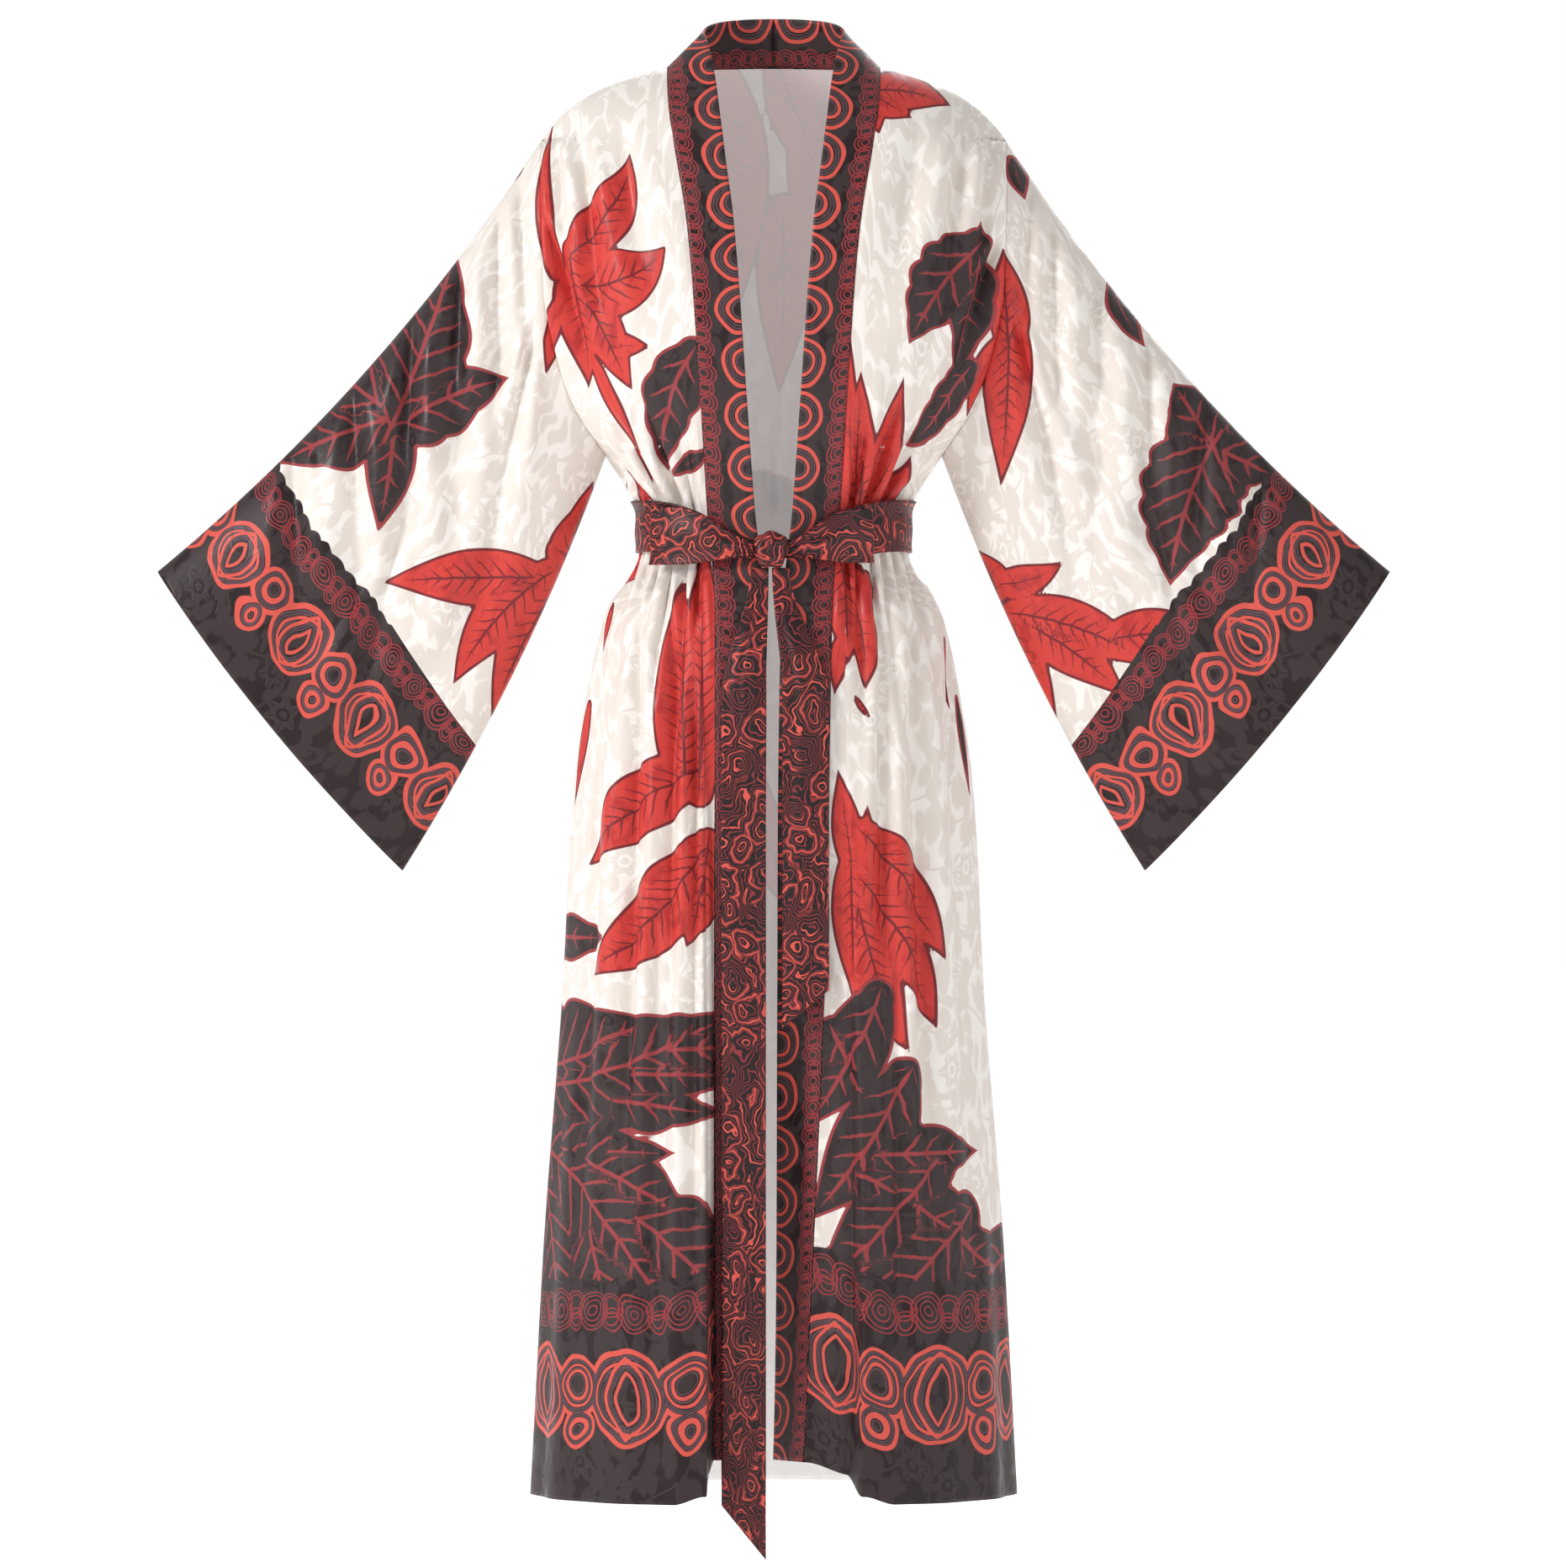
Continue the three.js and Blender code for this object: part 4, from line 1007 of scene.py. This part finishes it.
half = np.linspace(0, 1, 75)
share, row = np.meshgrid(np.concatenate([-half[:0:-1], half]), panel_rows(24, 66, 212))
left, right = (panel("back", side, np.abs(share), row, drawn_in("back")) for side in ("left", "right"))
base = np.where((share < 0)[..., None], right, left)
points = sunk_by(base, BACK, np.abs(share))
u = lengths(points, 1)
u = u - u[:, 74:75]
v = lengths(points[::-1], 0)[::-1]
marks = print_marks(unroll("back", base[..., 0], base[..., 2]), base[..., 2], "back")
border_rows = v.mean(axis=1) < HEM_BORDER + 8
shell("back", points, np.stack([u, v], axis=-1), CLOTH_WALL, AXIS, LOOKS["satin"], border_rows, marks=marks)

# %% [markdown]
# ## Sleeves
#
# Each sleeve is one wide tube, sewn in at the armhole and hanging from the shoulder line. Two curves
# carry it, the top fold and the seam under the arm, and a flattened ring joins them at each step. Long
# soft drapes fall from the top fold on both faces.

# %% Sleeves
SLEEVE_TOP = np.array([[212.5, -64], [358, -288], [563.6, -458]])
SLEEVE_UNDER = np.array([[154, -351], [226, -551], [340, -731]])
SLEEVE_START, CUFF_DEPTH, DROOP, BOW = 0.0, 34, 0.3, (9 * 0.77, 9 * 0.63)
SLEEVE_FOLDS = table("at width depth start stop", [
    (0.24, 0.07, 5, 0.05, 0.75), (0.42, 0.08, 8, 0.1, 1.2), (0.6, 0.07, 7, 0.08, 0.9),
    (0.78, 0.08, 6, 0.15, 1.3),
])
DRAPES = {
    ("left", "front"): [
        (232, -108, 226, -330, 13, 10), (252, -150, 262, -420, 14, 11), (292, -190, 296, -540, 16, 10),
        (338, -250, 346, -600, 15, 10), (392, -300, 380, -560, 15, 8.5), (446, -350, 420, -600, 14, 7.5),
        (222, -240, 300, -560, 11, 8.5), (352, -420, 392, -660, 14, 7.5),
    ],
    ("right", "front"): [
        (-230, -106, -222, -310, 13, 11), (-250, -140, -256, -440, 14, 12), (-286, -186, -292, -500, 16, 10),
        (-330, -240, -346, -610, 15, 10), (-384, -300, -372, -580, 15, 8.5),
        (-440, -346, -430, -560, 14, 7.5),
        (-220, -250, -286, -560, 11, 9.5), (-346, -440, -396, -660, 14, 7.5),
    ],
    ("left", "back"): [
        (236, -112, 232, -360, 14, 11), (268, -160, 270, -450, 15, 10), (310, -210, 318, -560, 16, 10),
        (364, -270, 360, -620, 15, 9.5), (424, -330, 404, -580, 15, 8.5), (226, -260, 292, -540, 11, 8.5),
    ],
    ("right", "back"): [
        (-234, -110, -236, -350, 14, 10), (-262, -156, -274, -470, 15, 11), (-306, -206, -306, -540, 16, 10),
        (-356, -264, -366, -600, 15, 9.5), (-416, -326, -396, -600, 15, 8.5),
        (-224, -256, -280, -520, 11, 8.5),
    ],
}


def bezier(p, t):
    return (1 - t) ** 2 * p[0] + 2 * t * (1 - t) * p[1] + t * t * p[2]


def sleeve(side, along, turn):
    down = (1 - np.cos(turn)) / 2
    at = mix(bezier(SLEEVE_TOP, along[..., None]), bezier(SLEEVE_UNDER, along[..., None]), down[..., None])
    straight = mix(SLEEVE_TOP[0, 0], SLEEVE_UNDER[0, 0], down)
    round_arm = column(LEVELS, "side", mix(ARM_TOP, ARM_BOTTOM, down)) - straight
    bow = 4 * down * (1 - down) * along**2
    x = at[..., 0] + round_arm * (1 - along) ** 2 + BOW[0] * bow
    z = at[..., 1] - BOW[1] * bow
    fuller = 1 + DROOP * np.cos(turn) * ease(0, 0.6, along)
    y = mix(ARM_DEPTH, CUFF_DEPTH, ease(0, 1, along)) * np.sin(turn) * fuller
    for at, width, depth, start, stop in zip(*SLEEVE_FOLDS.values()):
        drawn = depth * bump((down - at) / width) * ease(start - 0.1, start + 0.3, along)
        y = y - (
            np.sign(np.sin(turn)) * drawn * ease(stop, stop - 0.4, along)
            * ease(0, 0.25, np.abs(np.sin(turn)))
        )
    return np.stack([HAND[side] * x, -y, z], axis=-1)


def round_steps(count):
    """Angles round a flat tube, closer together along its two wide faces than an even turn gives."""
    even = np.linspace(0, 2 * math.pi, count, endpoint=False)
    return even + 0.22 * np.sin(2 * even)


for side in ("left", "right"):
    turn, along = np.meshgrid(round_steps(210), np.linspace(SLEEVE_START, 1, 132))
    base = sleeve(side, along, turn)
    points = base.copy()
    on_face = ease(0.1, 0.55, np.abs(np.sin(turn))) * ease(0.0, 0.12, along)
    for face, front in (("front", True), ("back", False)):
        depth = crease_depth(base[..., 0], base[..., 2], DRAPES[side, face])
        inwards = depth * on_face * ((np.sin(turn) > 0) == front)
        points[..., 1] += inwards if front else -inwards
    ring = np.concatenate([points, points[:, :1]], axis=1)
    u = lengths(ring, 1)
    v = lengths(ring[::-1], 0)[::-1]
    marks = {}
    for face, front in (("front", True), ("back", False)):
        found = print_marks(unroll(face, base[..., 0], base[..., 2]), base[..., 2], face)
        here = ((np.sin(turn) > 0) == front)[..., None]
        for key, value in found.items():
            marks[key] = np.where(here, value, marks.get(key, value))
    border_rows = v.mean(axis=1) < CUFF_BORDER + 8
    middle = points.mean(axis=1, keepdims=True)
    flat = np.stack([u, v], axis=-1)
    shell("sleeve_" + side, points, flat, CLOTH_WALL, middle, LOOKS["sleeve"], border_rows, True, marks)

# %% [markdown]
# ## Neckband
#
# A kimono's edge is finished with a long straight band, double, that stands up a little at the nape and
# lies flat down both fronts. It starts at centre back, follows the neck seam and then each front's edge
# down to the hem.

# %% Neckband
BAND_GAP, LEAN_BACK, LEAN_SIDE, LIES_FLAT = 0.1, 78, 45, 1.15
BAND_WALL = 1.7


def smooth_panel(share, z):
    return 0 * z


def band(side, along, across):
    hand = HAND[side]
    x, y, z = shoulder(np.minimum(along, 1), 1)
    out = np.stack([x / NECK_HALF**2, y / NECK_DEPTH**2])
    out = out / np.linalg.norm(out, axis=0)
    lean = np.radians(mix(LEAN_BACK, LEAN_SIDE, ease(0, 1, along)))
    far = BAND_GAP + across * FRONT_EDGE["band"][0]
    inwards = far * np.cos(lean)
    nape = np.stack([hand * (x - inwards * out[0]), y - inwards * out[1], z + far * np.sin(lean)], axis=-1)
    row = np.maximum(along - 1, 0)
    seam = panel("front", side, 0 * row, row, smooth_panel)
    lean = np.radians(LEAN_SIDE) * (1 - ease(0, LIES_FLAT, row))
    far = BAND_GAP + across * column(FRONT_EDGE, "band", seam[..., 2])
    turn = np.radians(TURN_BACK[side]["band"]) * lowered(seam[..., 2])
    inner = np.abs(seam[..., 0]) - far * np.cos(lean) * np.cos(turn)
    middle = section("front", 0 * row, 0 * row, seam[..., 2])[1]
    bulge = middle - section("front", np.abs(seam[..., 0]), 0 * row, seam[..., 2])[1]
    y = seam[..., 1] + far * np.sin(turn) - bulge * across * ease(0, 1, row)
    front = np.stack([hand * inner, y, seam[..., 2] + far * np.sin(lean)], axis=-1)
    return np.where((along < 1)[..., None], nape, front)


for side in ("left", "right"):
    down = np.concatenate([np.linspace(0, 1, 40)[:-1], 1 + panel_rows(24, 66, 290)])
    across, along = np.meshgrid(np.linspace(0, 1, 14), down)
    points = band(side, along, across)
    u = lengths(points[:, ::-1], 1)[:, ::-1]
    v = lengths(points, 0)
    shell("neckband_" + side, points, np.stack([u, v], axis=-1), BAND_WALL, AXIS, LOOKS["band"])

# %% [markdown]
# ## Sash
#
# The sash is a strip five centimetres wide. It goes once round the waist, is drawn narrow at the knot,
# and ends in a flat bow and two tails. Each stretch is its own sheet here, as each is its own solid.
# All of them follow the waist's section at their own height, a few millimetres off it.

# %% The turn round the waist
SASH = {"z": -417, "dip": 23, "level": 118, "width": 47, "narrow": 15, "full": 88, "clear": 3.4, "wall": 2.0}
KNOT_AT, KNOT_HALF = (-2.5, -440), (14.5, 10, 16)
SASH_CLOTH = 1.2
PLACES = {("loop", "left"): 900, ("loop", "right"): 1300, ("tail", "left"): 1700, ("tail", "right"): 2300}


def waist(angle, z, off):
    front = np.cos(angle) > 0
    depth = np.where(front, column(LEVELS, "front", z), column(LEVELS, "back", z)) + off
    side = column(LEVELS, "side", z) + off
    s = np.sin(angle)
    return side * np.sign(s) * np.abs(s) ** (2 / ROUND), -depth * np.cos(angle)


def sash(angle, across):
    x, _ = waist(angle, WAIST + 0 * angle, SASH["clear"])
    far = np.abs(x - KNOT_AT[0])
    front = np.cos(angle) > 0
    middle = np.where(front, SASH["z"] - SASH["dip"] * (1 - ease(0, SASH["level"], far)), SASH["z"])
    narrowed = mix(SASH["narrow"], SASH["width"], ease(6, SASH["full"], far))
    width = np.where(front, narrowed, SASH["width"])
    z = middle + (0.5 - across) * width
    gathered = ease(120, 24, far) * front * 0.7
    wrinkle = gathered * np.sin(across * 19 + 0.6) + 0.4 * np.sin(across * 9 + angle * 2.3)
    x, y = waist(angle, z, SASH["clear"] + wrinkle)
    return np.stack([x, y, z], axis=-1)


across, angle = np.meshgrid(np.linspace(0, 1, 22), np.linspace(-math.pi, math.pi, 330, endpoint=False))
points = sash(angle, across).transpose(1, 0, 2)
ring = np.concatenate([points, points[:, :1]], axis=1)
u, v = lengths(ring, 1), lengths(ring, 0)
middle = points.mean(axis=1, keepdims=True)
shell("sash", points, np.stack([u, v], axis=-1), SASH_CLOTH, middle, LOOKS["sash"], closed=True)

# %% [markdown]
# Pleats fan out of the knot into both loops. They are one field of depths, which moves the loop's front
# and back together, so that its two layers never cross.

# %% The bow's loops
LOOPS = {"left": (84, 49), "right": (104, 52)}
LOOP_Z, LOOP_BEND, BEND_SHARE, PINCH, LOOP_OFF, LOOP_TUCK = -427, 3.4, 0.16, 9, 1.3, 1.3
SEAM = 0.4


def angle_at(x):
    reach = column(LEVELS, "side", np.array(float(WAIST))) + SASH["clear"]
    return np.sign(x) * np.arcsin(np.minimum(1, np.abs(x) / reach) ** (ROUND / 2))


def loop(side, along, across):
    end, width = LOOPS[side]
    start = KNOT_HALF[0] + SEAM - LOOP_TUCK
    straight = end - LOOP_BEND
    far = np.abs(along)
    q = np.maximum(0, (far - BEND_SHARE) / (1 - BEND_SHARE))
    beta = along / BEND_SHARE * math.pi / 2
    flat_part = far > BEND_SHARE
    out = np.where(flat_part, mix(straight, start, q), straight + LOOP_BEND * np.cos(beta))
    off = np.where(flat_part, np.sign(along) * LOOP_BEND * mix(1, 0.5, q * q), LOOP_BEND * np.sin(beta))
    opened = ease(start - 8, end * 0.8, out)
    x = HAND[side] * out + KNOT_AT[0] * (1 - opened)
    z = mix(KNOT_AT[1], LOOP_Z, opened) + (0.5 - across) * mix(PINCH, width, opened)
    pleats = 1.5 * np.sin(across * 13 + (0.5 if side == "left" else 2.2)) * ease(1.05, 0.25, opened)
    swell = 2.2 * np.sin(math.pi * across) * ease(0, 0.6, opened)
    clear = SASH["clear"] + SASH["wall"] + LOOP_OFF + LOOP_BEND - off + np.maximum(pleats, -0.6) + swell
    x, y = waist(angle_at(x), z, clear)
    return np.stack([x, y, z], axis=-1)


for side in ("left", "right"):
    across, along = np.meshgrid(np.linspace(0, 1, 30), np.linspace(-1, 1, 110))
    points = loop(side, along, across)
    u, v = lengths(points, 0), lengths(points, 1)
    middle = points.mean(axis=(0, 1))
    shell(
        "bow_loop_" + side, points, np.stack([u, v + PLACES["loop", side]], axis=-1),
        SASH_CLOTH, middle, LOOKS["sash"],
    )

# %% [markdown]
# The tails open below the knot and hang just in front of the bands, the wearer's right one nearly to
# the floor. Their ends are cut on the slant, and each keeps a lengthwise fold where it was pinched.

# %% The tails
TAILS = {"left": (9, 29, 42, -872, -838), "right": (-10, -27, 40, -1352, -1303)}
TAIL_NECK, TAIL_OPENS, TAIL_OFF, TAIL_CUP, TAIL_FALLS = 16, 120, 7.5, 2.2, 70


def band_front(side, z):
    row = 2 + (ARM_BOTTOM - z) / (ARM_BOTTOM - HEM)
    return band(side, 1 + row, 0.5 + 0 * row)[..., 1]


def hangs_at(side, z):
    """The foremost that the band comes between the waist and z, as a tail hangs straight down from there."""
    levels = WAIST + (z[..., None] - WAIST) * np.linspace(0, 1, 9)
    return band_front(side, levels).min(axis=-1)


def tail(side, down, across):
    start, at, full, tip, corner = TAILS[side]
    top = KNOT_AT[1] - KNOT_HALF[2] - SEAM
    inner = HAND[side] * (0.5 - across)
    z = mix(top, mix(tip, corner, np.clip(0.5 - HAND[side] * inner, 0, 1)), down)
    fallen = top - z
    opened = ease(0, TAIL_OPENS, fallen)
    x = mix(KNOT_AT[0] + start, at, opened) - inner * mix(TAIL_NECK, full, opened)
    knot_front = waist(np.array(0.0), np.array(float(WAIST)), SASH["clear"])[1] - KNOT_HALF[1]
    y = mix(knot_front, hangs_at(side, np.maximum(HEM, z)) - TAIL_OFF, ease(0, TAIL_FALLS, fallen))
    crease = 3.0 * bump((across - 0.36 - 0.1 * np.sin(fallen / 70)) / 0.13) * ease(420, 40, fallen)
    crease = crease + 1.6 * bump((across - 0.7) / 0.12) * ease(300, 20, fallen)
    wave = 1.3 * np.sin(fallen / 58 + across * 3) * ease(0, 160, fallen)
    y = y - TAIL_CUP * np.cos(inner * math.pi) * opened - crease * opened - wave * 0.8
    return np.stack([x, y, z], axis=-1)


for side in ("left", "right"):
    across, down = np.meshgrid(np.linspace(0, 1, 20), np.linspace(0, 1, 220))
    points = tail(side, down, across)
    u, v = lengths(points, 1), lengths(points, 0)
    shell(
        "tail_" + side, points, np.stack([u, v + PLACES["tail", side]], axis=-1),
        SASH_CLOTH, AXIS, LOOKS["sash"],
    )

# %% [markdown]
# The knot is the same strip wrapped over itself. Here it is one small rounded block with shallow
# creases that run round it, because the wraps inside it never show.

# %% The knot
turn, down = np.meshgrid(
    np.linspace(0, 2 * math.pi, 64, endpoint=False), np.linspace(0.06, math.pi - 0.06, 40)
)
ball = np.stack([np.sin(down) * np.sin(turn), -np.sin(down) * np.cos(turn), np.cos(down)], axis=-1)
ball = np.sign(ball) * np.abs(ball) ** 0.79
wrap = (
    1 + 0.05 * np.sin(ball[..., 0] * 7 + ball[..., 2] * 2.2)
    + 0.035 * np.sin(ball[..., 2] * 9 - ball[..., 0] * 4)
)
face = waist(np.array(0.0), np.array(float(WAIST)), SASH["clear"] + SASH["wall"] / 2 + SEAM)[1]
points = ball * wrap[..., None] * KNOT_HALF + (KNOT_AT[0], face - KNOT_HALF[1], KNOT_AT[1])
ring = np.concatenate([points, points[:, :1]], axis=1)
middle = points.mean(axis=(0, 1))
flat = np.stack([lengths(ring, 1), lengths(ring, 0)], axis=-1)
shell("knot", points, flat, SASH_CLOTH, middle, LOOKS["sash"], closed=True)

# %% [markdown]
# ## Into the frame
#
# Each piece rides on the part's one body and stands for its solid. A sheet's flat size is its width and
# length in metres, and where its cut isn't a rectangle its area is given too.

# %% Ride and replace
CUTS = {
    "back": (0.640, 1.330, 0.78, "draped", ["neckband_left", "neckband_right"]),
    "front_left": (0.300, 1.330, 0.33, "draped", ["neckband_left", "back"]),
    "front_right": (0.300, 1.330, 0.33, "draped", ["neckband_right", "back"]),
    "sleeve_left": (0.760, 0.560, 0.34, "hung", ["back", "front_left"]),
    "sleeve_right": (0.760, 0.560, 0.34, "hung", ["back", "front_right"]),
    "neckband_left": (0.047, 1.460, None, "hung", ["back", "front_left"]),
    "neckband_right": (0.047, 1.460, None, "hung", ["back", "front_right"]),
    "sash": (0.047, 0.720, None, "stretched", ["back", "front_left", "front_right"]),
    "knot": (0.047, 0.060, None, "folded", ["sash"]),
    "bow_loop_left": (0.050, 0.150, None, "folded", ["sash"]),
    "bow_loop_right": (0.052, 0.190, None, "folded", ["sash"]),
    "tail_left": (0.042, 0.420, None, "hung", ["knot"]),
    "tail_right": (0.042, 0.900, None, "hung", ["knot"]),
}
SLOTS = {"back": "satin", "front": "satin", "sleeve": "satin", "neckband": "band"}
for node, (width, length, area, held, rests_on) in CUTS.items():
    piece = bpy.data.objects["cloth_" + node]
    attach(piece, "root")
    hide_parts(node)
    SLOTS.get(node.split("_")[0], "sash")
print("pieces declared:", len(CUTS))

# %% [markdown]
# ## Floor and light
#
# The robe was photographed on white with light from all sides. A pale floor that glows a little comes
# close, under a sky that is white to the camera and half as bright to the cloth, so that the folds keep
# their shade. Three large soft lamps give the satin its broad highlights: a main one from the upper
# left, a weaker one from the right, and one behind for the views from there.

# %% Floor, world and lamps
FLOOR_Z = -1.362
paper = Finish("floor_paper")
glow = {"Emission Color": (1, 1, 1, 1), "Emission Strength": 0.62}
floor_finish = paper.done(numbers={
    "Base Color": (0.8, 0.8, 0.8, 1), "Roughness": 0.9, "Specular IOR Level": 0.1
} | glow)
bpy.ops.mesh.primitive_plane_add(size=60, location=(0, 0, FLOOR_Z))
floor = bpy.context.object
floor.name = "floor"
floor.data.materials.append(floor_finish)
floor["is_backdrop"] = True
world = bpy.data.worlds.new("studio")
world.use_nodes = True
sky = world.node_tree.nodes["Background"]
sky.inputs["Color"].default_value = (1, 1, 1, 1)
seen = world.node_tree.nodes.new("ShaderNodeLightPath")
strength = world.node_tree.nodes.new("ShaderNodeMapRange")
strength.inputs["To Min"].default_value = 0.50
strength.inputs["To Max"].default_value = 1.0
world.node_tree.links.new(seen.outputs["Is Camera Ray"], strength.inputs["Value"])
world.node_tree.links.new(strength.outputs["Result"], sky.inputs["Strength"])
bpy.context.scene.world = world
bpy.context.scene.view_settings.view_transform = "Standard"
LAMPS = [
    ("main", (-3.6, -2.3, 1.3), 1.3, 116), ("fill", (3.2, -2.8, 0.0), 2.4, 20),
    ("behind", (0.6, 3.4, 1.6), 2.6, 60),
]
for name, at, size, power in LAMPS:
    lamp = bpy.data.lights.new(name, "AREA")
    lamp.energy = power
    lamp.size = size
    lamp_object = bpy.data.objects.new(name, lamp)
    lamp_object.location = at
    aim = -np.array(at) + (0, 0, -0.6)
    lamp_object.rotation_euler = (
        math.acos(-aim[2] / np.linalg.norm(aim)), 0, math.atan2(aim[1], aim[0]) - math.pi / 2
    )
    bpy.context.collection.objects.link(lamp_object)
print("lamps:", ", ".join(row[0] for row in LAMPS))

# %% [markdown]
# ## Sizes
#
# The box round the solids and the box round everything shown are both worked out. Cloth may
# stand a little proud of its solid and no more.

# %% Sizes and the end
def plain(box):
    return [list(map(float, corner)) for corner in box]


{"cad": plain(cad_box), "visual": plain(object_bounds())}
